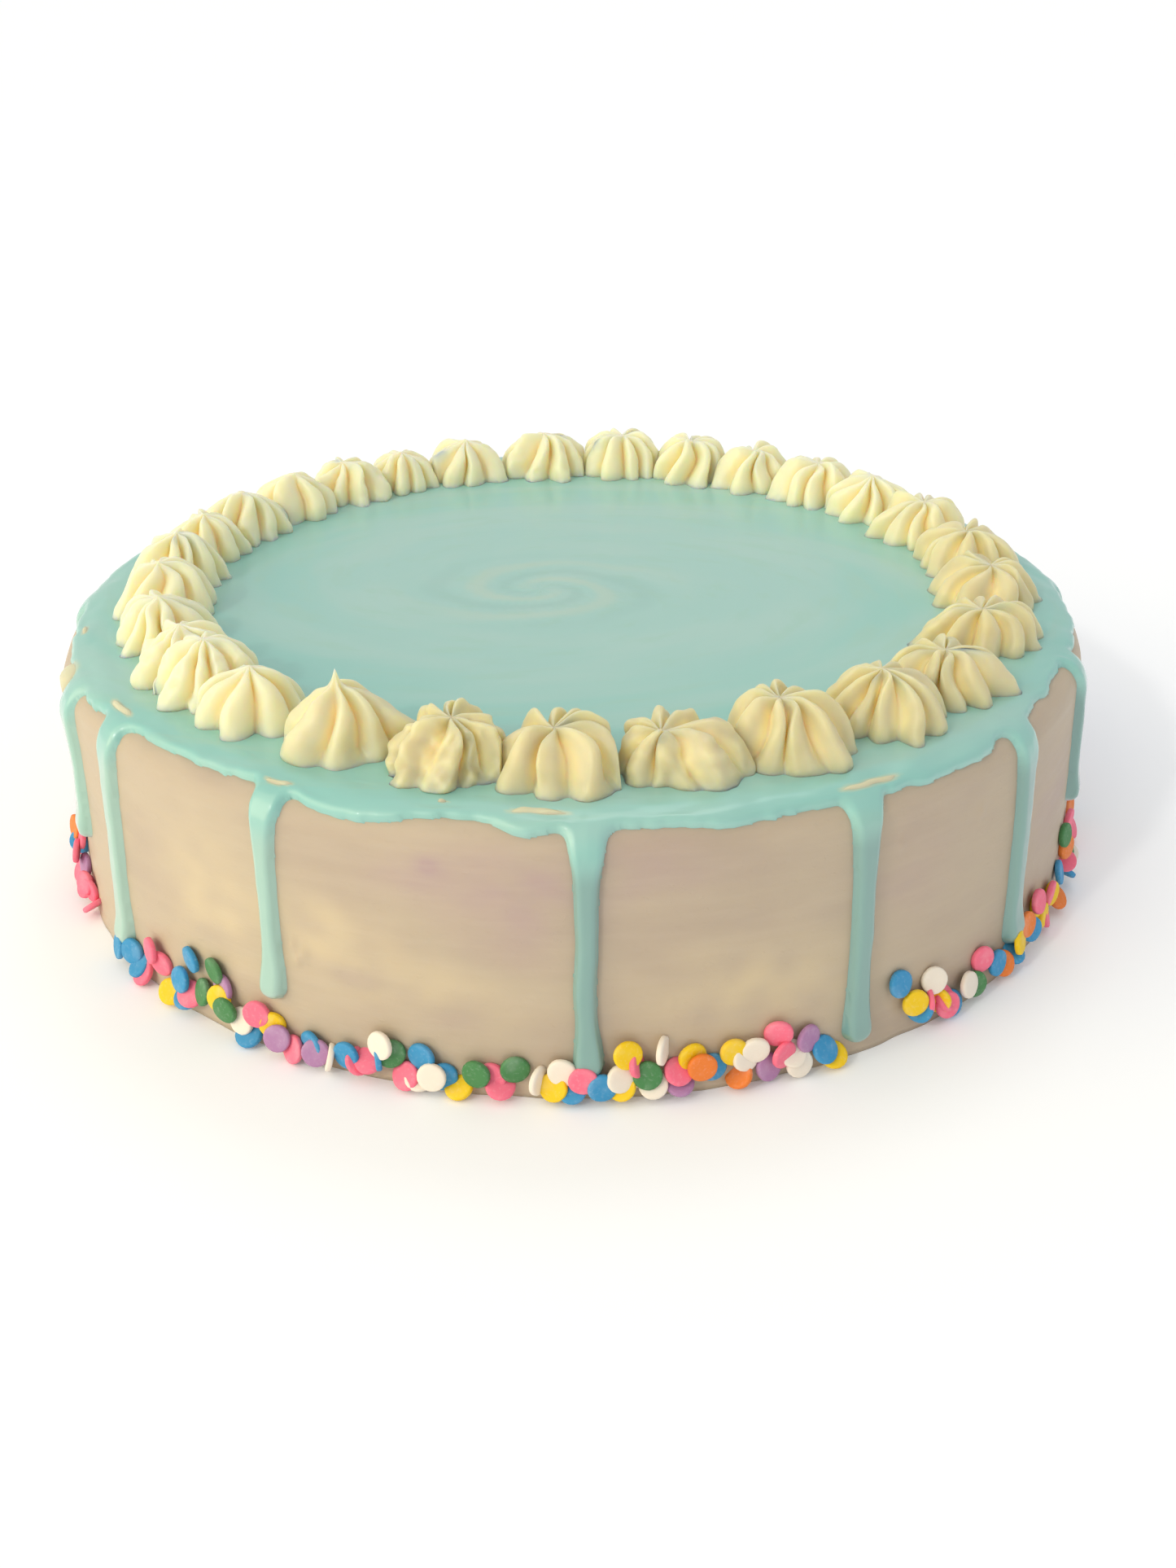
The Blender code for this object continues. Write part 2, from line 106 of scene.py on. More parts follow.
# A drip's half width as shares of its own: above its end, what its end adds, and what its top adds
DRIP_SLIM = 0.77
DRIP_SWELL = 0.24
DRIP_FLARE = 0.5
# How softly the hem and the drips run into each other
HEM_BLEND = 2.6 * MM
# The bead at a drip's end: how thick, how far above the end, and half its height and width
BEAD_LIFT = 0.65 * MM
BEAD_ABOVE = 3.2
BEAD_HALF_HEIGHT = 3.0
BEAD_HALF_TURN = 3.0
# The glaze's edge: how far its mesh dips and reaches past it, and how near a vertex is moved onto it
EDGE_DIP = 0.35 * MM
EDGE_SNAP = 0.19 * MM
EDGE_MARGIN = 1.1 * MM

# Soft clouds on the side: angle, height, half length and half height in mm, and shade, mauve above 0
CLOUDS = (
    (256.6, 48.5, 2.4, 1.8, 0.50), (254.0, 44.5, 6.0, 3.0, 0.25), (262.0, 46.0, 18.0, 7.0, 0.55),
    (277.0, 49.0, 12.0, 6.0, 0.40), (249.5, 22.0, 6.0, 2.2, 0.55), (258.5, 16.5, 6.0, 2.5, 0.30),
    (246.0, 29.0, 17.0, 9.0, -0.42), (258.0, 22.0, 18.0, 7.0, -0.28), (286.0, 20.0, 20.0, 11.0, -0.50),
    (302.0, 36.0, 14.0, 12.0, 0.25), (232.0, 28.0, 14.0, 16.0, -0.40), (330.0, 32.0, 16.0, 10.0, 0.35),
    (265.0, 37.0, 13.0, 11.0, 0.35), (20.0, 34.0, 20.0, 8.0, 0.4), (58.0, 18.0, 22.0, 7.0, -0.4),
    (90.0, 36.0, 16.0, 6.0, 0.5), (118.0, 16.0, 18.0, 8.0, -0.4), (150.0, 33.0, 20.0, 9.0, 0.45),
)
# The frosting's mesh: columns around, and the steps between rows over the rim and down the side
FROSTING_COLUMNS = 1200
RIM_STEP = 0.55 * MM
SIDE_STEP = 1.2 * MM
# Small torn peaks and specks on the side: angle, height, half width in mm, and lift in mm
NICKS = (
    (242.9, 26.0, 0.9, 0.9), (244.0, 24.6, 1.2, 0.7), (243.3, 23.2, 0.8, 1.0), (278.3, 20.0, 0.5, 0.35),
    (280.4, 17.0, 0.45, 0.35), (252.0, 40.0, 0.5, 0.3), (301.0, 44.0, 0.9, 0.5), (312.0, 43.5, 1.1, 0.5),
)

# The spatula's swirl on the top: its middle, reach and stretch, how it winds, and how strongly it shows
SWIRL_MIDDLE = (-8.5 * MM, -2.5 * MM)
SWIRL_REACH = 22.0 * MM
SWIRL_STRETCH = 1.4
SWIRL_TURN = 28.0
SWIRL_ARMS = 12.0
SWIRL_HEIGHT = 0.08 * MM
# The swirl's pale crescents lie on its raised arms, partly cream tone and partly painted light; its dark
# crescents lie in its grooves as painted shade
SWIRL_PALE = 0.30
SWIRL_DARK = 0.26
# The glaze's mesh: where its fine rows start and end, its steps, and the fine margin beside each drip
TOP_RUN = -6.0 * MM
FINE_END = 12.0 * MM
FINE_STEP = 0.40 * MM
WIDE_STEP = 1.0 * MM
LOWER_ROW = 0.55 * MM
TOP_STEP = 1.6 * MM
INNER_RING = 1.5 * MM
DRIP_MARGIN = 4.5 * MM
# The drips' colour: painted light, paler within this turn of the lit angle, and painted shade, deeper beyond
# twice that turn
LIT_ANGLE = 215.0
LIT_TURN = 25.0
DRIP_PAINTED_SHADE = 1.15
DRIP_PAINTED_LIGHT = 0.30

# Each piped star: angle, height above the glaze in mm, how domed it is, ridges, and its first ridge's turn
STARS = (
    (7.2, 9.6, 2.9, 9, 12), (20.6, 10.0, 2.8, 9, 30), (33.6, 10.5, 2.6, 10, 5), (46.0, 9.9, 2.8, 9, 22),
    (58.0, 9.9, 2.7, 8, 40), (69.3, 10.6, 2.8, 9, 8), (81.5, 10.6, 2.8, 10, 19), (95.3, 11.3, 2.6, 9, 33),
    (109.5, 10.9, 2.5, 10, 2), (120.7, 9.6, 2.4, 9, 27), (131.4, 9.9, 2.4, 9, 14),
    (142.2, 10.8, 2.4, 8, 30), (154.8, 10.8, 2.3, 9, 6), (166.0, 11.2, 2.3, 8, 24),
    (176.8, 12.0, 2.2, 9, 35), (188.2, 11.8, 2.2, 8, 16), (200.4, 11.2, 2.2, 9, 26),
    (211.2, 10.6, 2.3, 8, 5), (219.6, 12.0, 2.1, 8, 38), (228.2, 11.4, 2.1, 8, 30),
    (242.2, 16.2, 2.0, 7, 0), (256.1, 10.4, 2.8, 9, 0), (267.6, 10.3, 3.2, 9, 0), (279.7, 9.5, 3.4, 8, 0),
    (293.4, 11.2, 2.8, 9, 0), (308.4, 11.4, 2.6, 10, 0), (321.0, 8.9, 2.9, 10, 0), (337.4, 8.8, 2.9, 10, 0),
    (353.0, 9.2, 2.9, 9, 2),
)
STAR_RING_RADIUS = 96.5 * MM
STAR_REACH = 12.0 * MM
STAR_SEED = 29
STAR_CROWDING = 1.28
STAR_STRETCH = 1.36
REACH_ROUND = 0.90
CREST_ROUND = 0.62
VALLEY_DEPTH = 0.50
VALLEY_FEET = (0.74, 0.90)
FOOT_BAND = 0.33
SUNKEN_FROM = 2.6
SUNKEN_DEPTH = 0.25

# The ridges of the front stars: their directions about the star, 0 outward, and their lengths in mm
RIDGES = {
    20: ((328, 12.5), (28, 10.5), (82, 11.5), (122, 17), (175, 11), (225, 11), (277, 12)),
    21: ((8, 12), (42, 9.5), (74, 14.5), (118, 12.5), (160, 10.5), (205, 10), (245, 11), (287, 13),
         (325, 12.5)),
    22: ((352, 11), (33, 14.5), (73, 16.5), (103, 14.5), (137, 12), (170, 10.5), (218, 11), (265, 11.5),
         (312, 13)),
    23: ((350, 9.5), (42, 14.5), (80, 19.5), (128, 14.5), (165, 12), (207, 10), (262, 9), (315, 10)),
    24: ((352, 12.5), (27, 15), (62, 15), (100, 13), (140, 12), (182, 10.5), (222, 11), (265, 12),
         (316, 11)),
    25: ((312, 11.5), (345, 13.5), (16, 14), (62, 15), (100, 11.5), (140, 10.5), (182, 12), (215, 12),
         (250, 12.5), (282, 11.5)),
    26: ((348, 13), (32, 16), (56, 14.5), (85, 12.5), (120, 11.5), (155, 12), (195, 13), (236, 13),
         (276, 11.5), (315, 12.5)),
    27: ((5, 13), (34, 15.5), (58, 13.5), (98, 12.5), (138, 11.5), (177, 12.5), (208, 15), (245, 13.5),
         (285, 12), (325, 11)),
}
# The stars whose valleys are as full at the foot as their ridges
FULL_FEET = (20, 21, 22, 23, 24)
# How far in degrees the seam between a star and the next one is turned from straight outward
SEAM_TURNS = {20: -26.0, 22: 8.0, 23: 30.0, 24: 8.0, 25: -6.0}

# A star's own draws: a ridge's length and shift from its even place, twist, length of a valley, and lean
RIDGE_LENGTHS = (0.84, 1.10)
RIDGE_SHIFT = 0.20
STAR_TWISTS = (8.0, 24.0)
VALLEY_LENGTHS = (0.66, 0.78)
STAR_LEAN = 0.8 * MM

# What the fine stars add: levels from foot to tip, steps across a ridge, pulled tips and torn stars
STAR_LEVELS = tuple(i / 28.0 for i in range(28)) + (0.975, 0.985, 0.994)
RIDGE_STEPS = 16
NUB_WIDTH = 0.9 * MM
SPIKED_STAR = 20
SPIKE = 4.0 * MM
TORN_STARS = {17: 0.5, 18: 0.4, 21: 1.0, 23: 0.45, 7: 0.3, 10: 0.3}
# Lumps on the stars: the size and height of the wide ones and the small ones, and what tearing adds
WIDE_LUMPS = (7.0 * MM, 0.9)
SMALL_LUMPS = (2.6 * MM, 0.22)
TORN_LUMPS = 1.1
# How far a star may bulge over its seam with the next one, and how softly it is held there
SEAM_BULGE = 0.4 * MM
SEAM_GIVE = 0.5 * MM
# How far a star's foot goes down into the glaze
STAR_SKIRT = 0.3 * MM
# Painted light and shade on the stars: a deeper yellow, painted shade, within a turn of this angle, and
# pale, painted light, from that turn and a fade on
SHADED_STAR_ANGLE = 308.0
SHADED_STAR_TURN = 48.0
SHADED_STAR_FADE = 42.0

# Piles of confetti around the foot: angle, half its spread in degrees, height in mm, and pieces
PILES = (
    (1, 6, 7, 6), (13, 6, 12, 6), (25, 6, 6, 5), (37, 7, 13, 7), (49, 6, 6, 5), (61, 6, 9, 6),
    (73, 6, 11, 6), (86, 7, 7, 5), (98, 6, 13, 7), (111, 6, 7, 5), (123, 7, 10, 6), (136, 6, 6, 5),
    (148, 6, 12, 6), (160, 6, 8, 5), (172, 6, 10, 6), (183, 5, 7, 5), (192, 3.5, 10, 4),
    (200.5, 2.2, 15.5, 6),
    (205.8, 2.5, 7, 4), (218.5, 3, 6, 4), (227.5, 4, 12, 5), (232, 3.5, 15, 5), (238.5, 5, 10.5, 8),
    (247.5, 4, 6.5, 6), (252.8, 3, 11, 5), (258, 3, 5, 4), (264.8, 4.5, 7, 7), (272.3, 3.5, 6, 5),
    (276.5, 3, 12, 7), (282, 4, 9, 6), (287, 3, 12.5, 5), (291.5, 3.5, 9, 5), (304, 3.5, 13.5, 5),
    (308.5, 4.5, 8, 6), (318, 5, 9, 5), (323, 4, 12, 5), (330.5, 4.5, 9, 6), (338.5, 3.5, 18.5, 7),
    (350, 5, 9, 6),
)
SOLID_SHARE = 0.5
CONFETTI_SEED = 7
# A disc: radius in the solid, thickness, drawn radius, sink into the side, gap to the floor, and reach
CONFETTI_RADIUS = 2.75 * MM
CONFETTI_THICKNESS = 1.2 * MM
CONFETTI_WIDTH = 2.86 * MM
CONFETTI_SINK = 0.15 * MM
CONFETTI_FLOOR = 0.05 * MM
CONFETTI_OUT = 4.0 * MM
# How the discs lean, the low ones more, and turn aside, some nearly edge on
LOW_SHARE = 0.40
LOW_LEANS = (12.0, 58.0)
HIGH_LEANS = (-4.0, 16.0)
FACE_TURN = 22.0
EDGE_ON_EVERY = 7
EDGE_ON_TURN = 62.0
# Steps that spread a pile's places evenly, and how discs that crowd lie on others
ANGLE_STEP = 0.618034
HEIGHT_STEP = 0.754878
CROWDED = CONFETTI_RADIUS * 1.4
MOST_LAYERS = 2
LAYER_STEP = 0.80
# A disc's mesh: its rings from the middle out, as shares of its radius and half thickness
DISC_SIDES = 20
DISC_EDGE = ((0.55, 0.97), (0.86, 1.0), (0.97, 0.78), (1.0, 0.35))
DISC_UNEVEN = 0.05
# Each colour's name, its web colour and its share of the confetti in percent
CONFETTI_COLOURS = (
    ("pink", "#f6718c", 23), ("yellow", "#f2c900", 20), ("blue", "#3592c4", 17), ("white", "#efe4d4", 14),
    ("orange", "#ea7d2a", 11), ("purple", "#b07fab", 8), ("green", "#45824a", 7),
)

# The lights: name, kind, azimuth, elevation, distance, width, power and colour
LIGHTS = (
    ("window", "SUN", 207.0, 25.0, 0.0, 75.0, 1.35, (1.0, 0.87, 0.55)),
    ("glow", "AREA", 205.0, 22.0, 0.9, 0.5, 0.9, (1.0, 0.87, 0.55)),
    ("skylight", "SUN", 80.0, 58.0, 0.0, 20.0, 0.3, (1.0, 1.0, 1.0)),
    ("sparkle", "SUN", 228.0, 34.0, 0.0, 4.0, 0.45, (1.0, 0.98, 0.92)),
)
ROOM_COLOUR = (0.97, 0.99, 1.02, 1.0)
ROOM_STRENGTH = 0.68
FLOOR_COLOUR = (0.955, 0.97, 1.0, 1.0)
FLOOR_GLOW = 0.06


def linear(hex_colour):
    """A web colour as linear red, green, blue and alpha."""
    parts = [int(hex_colour[i:i + 2], 16) / 255.0 for i in (1, 3, 5)]
    return tuple(c / 12.92 if c <= 0.04045 else ((c + 0.055) / 1.055) ** 2.4 for c in parts) + (1.0,)


def turn_between(first, second):
    """The signed turn in degrees from the first angle to the second, within half a circle."""
    return (second - first + 180.0) % 360.0 - 180.0


def blend(low, high, share):
    """The number a share of the way from low to high."""
    return low + (high - low) * share


def ease(share):
    """A share held between 0 and 1 that leaves and reaches them smoothly."""
    share = min(1.0, max(0.0, share))
    return share * share * (3.0 - 2.0 * share)


def smooth_max(first, second, reach):
    """The larger of two numbers, rounded over where they are closer than reach."""
    share = min(1.0, max(0.0, 0.5 + 0.5 * (first - second) / reach))
    return blend(second, first, share) + reach * share * (1.0 - share)


def side_bulge(angle, height):
    """How far the uneven side stands out of a true cone."""
    waves = sum(size * math.sin(math.radians(count * angle + phase)) for count, phase, size in SIDE_WAVES)
    across = turn_between(LIP_ANGLE, angle) / LIP_WIDTH
    down = (CAKE_HEIGHT - LIP_DROP - height) / LIP_DROP
    return waves + LIP_SWELL * math.exp(-across * across - down * down)


def skin_point(angle, run, lift):
    """A point above the frosting. The run starts at the edge of the flat top and goes down the side."""
    if run < 0.0:
        radius, height = FLAT_EDGE + run, CAKE_HEIGHT + lift
    elif run < RIM_RUN:
        lean = run / RIM_ROUND
        radius = FLAT_EDGE + (RIM_ROUND + lift) * math.sin(lean)
        height = CAKE_HEIGHT - RIM_ROUND + (RIM_ROUND + lift) * math.cos(lean)
    else:
        height = CAKE_HEIGHT - RIM_ROUND - (run - RIM_RUN)
        spread = (FOOT_RADIUS - TOP_RADIUS) * (1.0 - height / (CAKE_HEIGHT - RIM_ROUND))
        radius = TOP_RADIUS + spread + lift
    radius += side_bulge(angle, height) * min(1.0, max(0.0, run / RIM_RUN + 0.5))
    turn = math.radians(angle)
    return Vector((radius * math.cos(turn), radius * math.sin(turn), height))


def run_at(height):
    """The run down the straight side to a height above the base."""
    return RIM_RUN + CAKE_HEIGHT - RIM_ROUND - height


def grain(angle, run, across, down, offset=0.0):
    """Smooth noise on the skin, in patches of the given sizes."""
    turn = math.radians(angle)
    radius = TOP_RADIUS / across
    return noise.noise(Vector((radius * math.cos(turn), radius * math.sin(turn), run / down + offset)))


# Materials

def new_material(name):
    """A node material, its tree and its Principled shader."""
    material = bpy.data.materials.new(name)
    material.use_nodes = True
    tree = material.node_tree
    return material, tree, tree.nodes["Principled BSDF"]


def add_node(tree, kind, inputs=None, **settings):
    """A node with its settings, and its inputs set to values or linked to other sockets."""
    node = tree.nodes.new(kind)
    for key, value in settings.items():
        setattr(node, key, value)
    for key, value in (inputs or {}).items():
        if isinstance(value, bpy.types.NodeSocket):
            tree.links.new(value, node.inputs[key])
        else:
            node.inputs[key].default_value = value
    return node


def noise_texture(tree, scale, detail=3.0, stretch=(1.0, 1.0, 1.0), roughness=0.5):
    """A noise over the object's own coordinates, in cycles per metre."""
    place = add_node(tree, "ShaderNodeTexCoord")
    mapping = add_node(tree, "ShaderNodeMapping", {"Vector": place.outputs["Object"], "Scale": stretch})
    inputs = {"Vector": mapping.outputs["Vector"], "Scale": scale, "Detail": detail, "Roughness": roughness}
    return add_node(tree, "ShaderNodeTexNoise", inputs).outputs["Fac"]


def ramp(tree, value, low, high):
    """A value turned into 0 below low and 1 above high, smoothly."""
    inputs = {"Value": value, "From Min": low, "From Max": high}
    node = add_node(tree, "ShaderNodeMapRange", inputs, interpolation_type="SMOOTHSTEP", clamp=True)
    return node.outputs["Result"]


def blend_range(tree, value, low, high):
    """A noise value turned into a number between low and high."""
    limits = {"Value": value, "From Min": 0.3, "From Max": 0.7, "To Min": low, "To Max": high}
    node = add_node(tree, "ShaderNodeMapRange", limits, clamp=True)
    return node.outputs["Result"]


def mix_colour(tree, share, first, second):
    """Two colours mixed by a share. Each is a web colour or a socket."""
    node = tree.nodes.new("ShaderNodeMix")
    node.data_type = "RGBA"
    for socket, value in ((node.inputs[0], share), (node.inputs[6], first), (node.inputs[7], second)):
        if isinstance(value, bpy.types.NodeSocket):
            tree.links.new(value, socket)
        else:
            socket.default_value = linear(value)
    return node.outputs[2]


def scale_value(tree, value, factor):
    """A socket's value times a number."""
    node = add_node(tree, "ShaderNodeMath", {0: value, 1: factor}, operation="MULTIPLY")
    return node.outputs["Value"]


def attribute(tree, name):
    """A number that the mesh carries at each vertex."""
    return add_node(tree, "ShaderNodeAttribute", attribute_name=name).outputs["Fac"]


def bump(tree, height, distance, strength, normal=None):
    """A normal tilted by a height, over another bump's normal if there is one."""
    inputs = {"Height": height, "Distance": distance, "Strength": strength}
    if normal is not None:
        inputs["Normal"] = normal
    return add_node(tree, "ShaderNodeBump", inputs).outputs["Normal"]


def soften(shader, weight, radius, scale):
    """Light that goes into the food and comes out nearby."""
    shader.inputs["Subsurface Weight"].default_value = weight
    shader.inputs["Subsurface Radius"].default_value = radius
    shader.inputs["Subsurface Scale"].default_value = scale


def frosting_material():
    """Pale buttercream smoothed with a spatula: streaks around the side, faint mauve and yellow clouds."""
    material, tree, shader = new_material("frosting")
    clouds = noise_texture(tree, 26.0, 3.0, (1.0, 1.0, 2.0))
    streaks = noise_texture(tree, 60.0, 3.0, (1.0, 1.0, 7.0))
    colour = mix_colour(tree, ramp(tree, clouds, 0.35, 0.68), "#c1b098", "#b9a793")
    colour = mix_colour(tree, attribute(tree, "mauve"), colour, "#b79f99")
    colour = mix_colour(tree, attribute(tree, "yellow"), colour, "#dac7a0")
    colour = mix_colour(tree, scale_value(tree, ramp(tree, streaks, 0.40, 0.75), 0.14), colour, "#d2c3ad")
    colour = mix_colour(tree, attribute(tree, "rim"), colour, "#d3cfaf")
    tree.links.new(colour, shader.inputs["Base Color"])
    pits = ramp(tree, noise_texture(tree, 520.0, 2.0, (1.0, 1.0, 1.6)), 0.62, 0.72)
    fine = noise_texture(tree, 900.0, 4.0, (1.0, 1.0, 2.0), 0.6)
    marks = bump(tree, streaks, 0.25 * MM, 0.5)
    marks = bump(tree, pits, 0.05 * MM, 0.5, marks)
    tree.links.new(bump(tree, fine, 0.05 * MM, 0.6, marks), shader.inputs["Normal"])
    tree.links.new(blend_range(tree, streaks, 0.42, 0.60), shader.inputs["Roughness"])
    soften(shader, 0.35, (1.0, 0.75, 0.45), 1.6 * MM)
    shader.inputs["Specular IOR Level"].default_value = 0.35
    return material


def spiral_noise(tree, scale, detail):
    """A noise drawn out along the spatula's turns, over the coordinates that the glaze carries."""
    place = add_node(tree, "ShaderNodeAttribute", attribute_name="spiral").outputs["Vector"]
    inputs = {"Vector": place, "Scale": scale, "Detail": detail, "Roughness": 0.5}
    return add_node(tree, "ShaderNodeTexNoise", inputs).outputs["Fac"]


def glaze_material():
    """Mint glaze: glossy on the drips, with soft spatula arcs on the top. The side is painted paler near the
    lit angle and a deeper green away from it, as painted light and shade.
    """
    material, tree, shader = new_material("mint_glaze")
    broad_arcs = spiral_noise(tree, 0.9, 2.0)
    fine_arcs = spiral_noise(tree, 2.6, 3.0)
    colour = mix_colour(tree, attribute(tree, "middle"), "#8fc5bb", "#9dc7be")
    colour = mix_colour(tree, scale_value(tree, ramp(tree, broad_arcs, 0.42, 0.66), 0.55), colour, "#a8c9c0")
    colour = mix_colour(tree, scale_value(tree, ramp(tree, fine_arcs, 0.52, 0.70), 0.45), colour, "#9bc4b4")
    # Painted shade: the glaze on the side turns deeper away from the lit angle
    colour = mix_colour(tree, scale_value(tree, attribute(tree, "drip"), 0.9), colour, "#7ea59e")
    # Pale mix: painted light on the side glaze near the lit angle, and the swirl's pale crescents, partly
    # cream tone and partly painted light
    colour = mix_colour(tree, attribute(tree, "pale"), colour, "#c6ccb2")
    # Painted shade: the swirl's dark crescents in its grooves
    colour = mix_colour(tree, attribute(tree, "dark"), colour, "#84b0a6")
    colour = mix_colour(tree, attribute(tree, "thin"), colour, "#c8cba9")
    tree.links.new(colour, shader.inputs["Base Color"])
    relief = bump(tree, broad_arcs, 0.9 * MM, 0.22)
    relief = bump(tree, fine_arcs, 0.35 * MM, 0.32, relief)
    fine = noise_texture(tree, 700.0, 2.0)
    tree.links.new(bump(tree, fine, 0.02 * MM, 0.25, relief), shader.inputs["Normal"])
    tree.links.new(blend_range(tree, broad_arcs, 0.30, 0.42), shader.inputs["Roughness"])
    soften(shader, 0.30, (0.7, 1.0, 0.9), 1.5 * MM)
    tree.links.new(attribute(tree, "gloss"), shader.inputs["Coat Weight"])
    shader.inputs["Coat Roughness"].default_value = 0.05
    return material


def buttercream_material():
    """Piped buttercream: pale crests, and valleys painted a brighter, deeper yellow as painted light for the
    glow caught in them. Stars far from the shaded angle are painted paler, as painted light.
    """
    material, tree, shader = new_material("buttercream")
    clouds = noise_texture(tree, 120.0, 3.0)
    colour = mix_colour(tree, ramp(tree, clouds, 0.30, 0.70), "#cdc49d", "#d5cca7")
    # Painted light: stars far from the shaded angle are painted pale
    colour = mix_colour(tree, attribute(tree, "pale"), colour, "#ebe6c3")
    # Painted light: valleys are painted a brighter, yellower cream for the glow caught in them
    colour = mix_colour(tree, ramp(tree, attribute(tree, "valley"), 0.25, 0.9), colour, "#f4e3ac")
    tree.links.new(colour, shader.inputs["Base Color"])
    fine = noise_texture(tree, 850.0, 4.0, roughness=0.6)
    soft = noise_texture(tree, 260.0, 2.0)
    marks = bump(tree, soft, 0.20 * MM, 0.30)
    tree.links.new(bump(tree, fine, 0.08 * MM, 0.45, marks), shader.inputs["Normal"])
    tree.links.new(blend_range(tree, fine, 0.29, 0.44), shader.inputs["Roughness"])
    soften(shader, 1.0, (1.0, 0.72, 0.34), 6.5 * MM)
    shader.inputs["Specular IOR Level"].default_value = 0.42
    return material


def confetti_material(name, hex_colour):
    """Pressed sugar: a matt colour with a fine grain and paler dust."""
    material, tree, shader = new_material("confetti_" + name)
    speckle = noise_texture(tree, 1500.0, 3.0)
    dust = noise_texture(tree, 260.0, 2.0)
    colour = mix_colour(tree, scale_value(tree, ramp(tree, dust, 0.45, 0.80), 0.10), hex_colour, "#ffffff")
    colour = mix_colour(tree, scale_value(tree, ramp(tree, speckle, 0.50, 0.85), 0.12), colour, "#ffffff")
    tree.links.new(colour, shader.inputs["Base Color"])
    tree.links.new(bump(tree, speckle, 0.06 * MM, 0.6), shader.inputs["Normal"])
    tree.links.new(blend_range(tree, dust, 0.55, 0.75), shader.inputs["Roughness"])
    soften(shader, 0.15, (1.0, 0.8, 0.7), 0.6 * MM)
    return material


# Pieces

def make_piece(name, bm, material, values=None):
    """Turn a bmesh into a smooth piece that rides on the root body, with its numbers at each vertex."""
    bmesh.ops.recalc_face_normals(bm, faces=bm.faces)
    mesh = bpy.data.meshes.new(name)
    bm.to_mesh(mesh)
    bm.free()
    for key, numbers in (values or {}).items():
        if isinstance(numbers[0], float):
            mesh.attributes.new(key, "FLOAT", "POINT").data.foreach_set("value", numbers)
        else:
            flat = [number for vector in numbers for number in vector]
            mesh.attributes.new(key, "FLOAT_VECTOR", "POINT").data.foreach_set("vector", flat)
    mesh.materials.append(material)
    mesh.shade_smooth()
    piece = bpy.data.objects.new(name, mesh)
    bpy.context.scene.collection.objects.link(piece)
    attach(piece, "root")
    return piece


def spread_steps(start, stop, step):
    """Numbers from start to stop in even steps near the given one."""
    count = max(1, round((stop - start) / step))
    return [start + (stop - start) * i / count for i in range(count + 1)]


def bare_share(angle, run):
    """How far the frosting's rim shows through the glaze at a place, from 0 to 1."""
    share = 0.0
    for place, middle, half_length, half_height in RIM_BARE:
        aside = math.radians(turn_between(place, angle)) * TOP_RADIUS / (half_length * MM)
        if abs(aside) < 2.5:
            down = (run / MM - middle + 0.5 * grain(angle, 0.0, 5.0 * MM, 1.0, 7.0)) / half_height
            share = max(share, math.exp(-aside ** 4 - down * down))
    return share


def frosting_lift(angle, run):
    """The frosting's relief above its plain skin: smoothing marks, a rough rim, bare patches and nicks."""
    lift = 0.10 * MM * grain(angle, run, 22.0 * MM, 3.5 * MM)
    lift += 0.14 * MM * grain(angle, run, 9.0 * MM, 16.0 * MM, 40.0)
    rim = math.exp(-((run / MM - 1.5) / 2.2) ** 2)
    lift += rim * 0.35 * MM * grain(angle, run, 4.0 * MM, 2.0 * MM, 80.0)
    shown = bare_share(angle, run)
    lift = max(lift, shown * (BARE_LIFT + 0.30 * MM * grain(angle, run, 3.0 * MM, 1.2 * MM, 90.0)))
    foot = math.exp(-((run_at(0.0) - run) / MM / 1.3) ** 2)
    lift += foot * (0.25 + 0.5 * grain(angle, run, 6.0 * MM, 3.0 * MM, 120.0)) * MM
    for place, height, half_width, nick in NICKS:
        aside = math.radians(turn_between(place, angle)) * TOP_RADIUS / (half_width * MM)
        down = (run - run_at(height * MM)) / (half_width * MM)
        if abs(aside) < 3.0 and abs(down) < 3.0:
            lift += nick * MM * math.exp(-aside * aside - down * down)
    return lift


def cloud_shade(angle, run):
    """How mauve, above 0, or how yellow, below 0, the frosting is at a place."""
    shade = 0.0
    for place, height, half_length, half_height, strength in CLOUDS:
        aside = math.radians(turn_between(place, angle)) * TOP_RADIUS / (half_length * MM)
        down = (run - run_at(height * MM)) / (half_height * MM)
        if abs(aside) < 2.5 and abs(down) < 2.5:
            ragged = 1.0 + 0.9 * grain(angle, run, 7.0 * MM, 5.0 * MM, 200.0)
            shade += strength * ragged * math.exp(-aside * aside - down * down)
    return shade


def make_frosting():
    """The frosted cake's skin down to its flat base."""
    runs = spread_steps(TOP_RUN, RIM_RUN, RIM_STEP) + spread_steps(RIM_RUN, run_at(0.0), SIDE_STEP)[1:]
    bm = bmesh.new()
    rows = []
    marks = {"mauve": [], "yellow": [], "rim": []}
    for run in runs:
        row = []
        for i in range(FROSTING_COLUMNS):
            angle = 360.0 * i / FROSTING_COLUMNS
            lift = frosting_lift(angle, run) if run > -4.0 * MM else 0.0
            row.append(bm.verts.new(skin_point(angle, run, lift)))
            shade = cloud_shade(angle, run)
            marks["mauve"].append(max(0.0, shade))
            marks["yellow"].append(max(0.0, -shade))
            marks["rim"].append(ease((lift / MM - 0.5) / 1.2) if run < RIM_RUN * 1.5 else 0.0)
        rows.append(row)
    bm.faces.new(rows[0])
    bm.faces.new(rows[-1])
    for upper, lower in zip(rows, rows[1:]):
        for i in range(FROSTING_COLUMNS):
            bm.faces.new((upper[i], upper[i - 1], lower[i - 1], lower[i]))
    piece = make_piece("frosting", bm, frosting_material(), marks)
    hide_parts("cake")


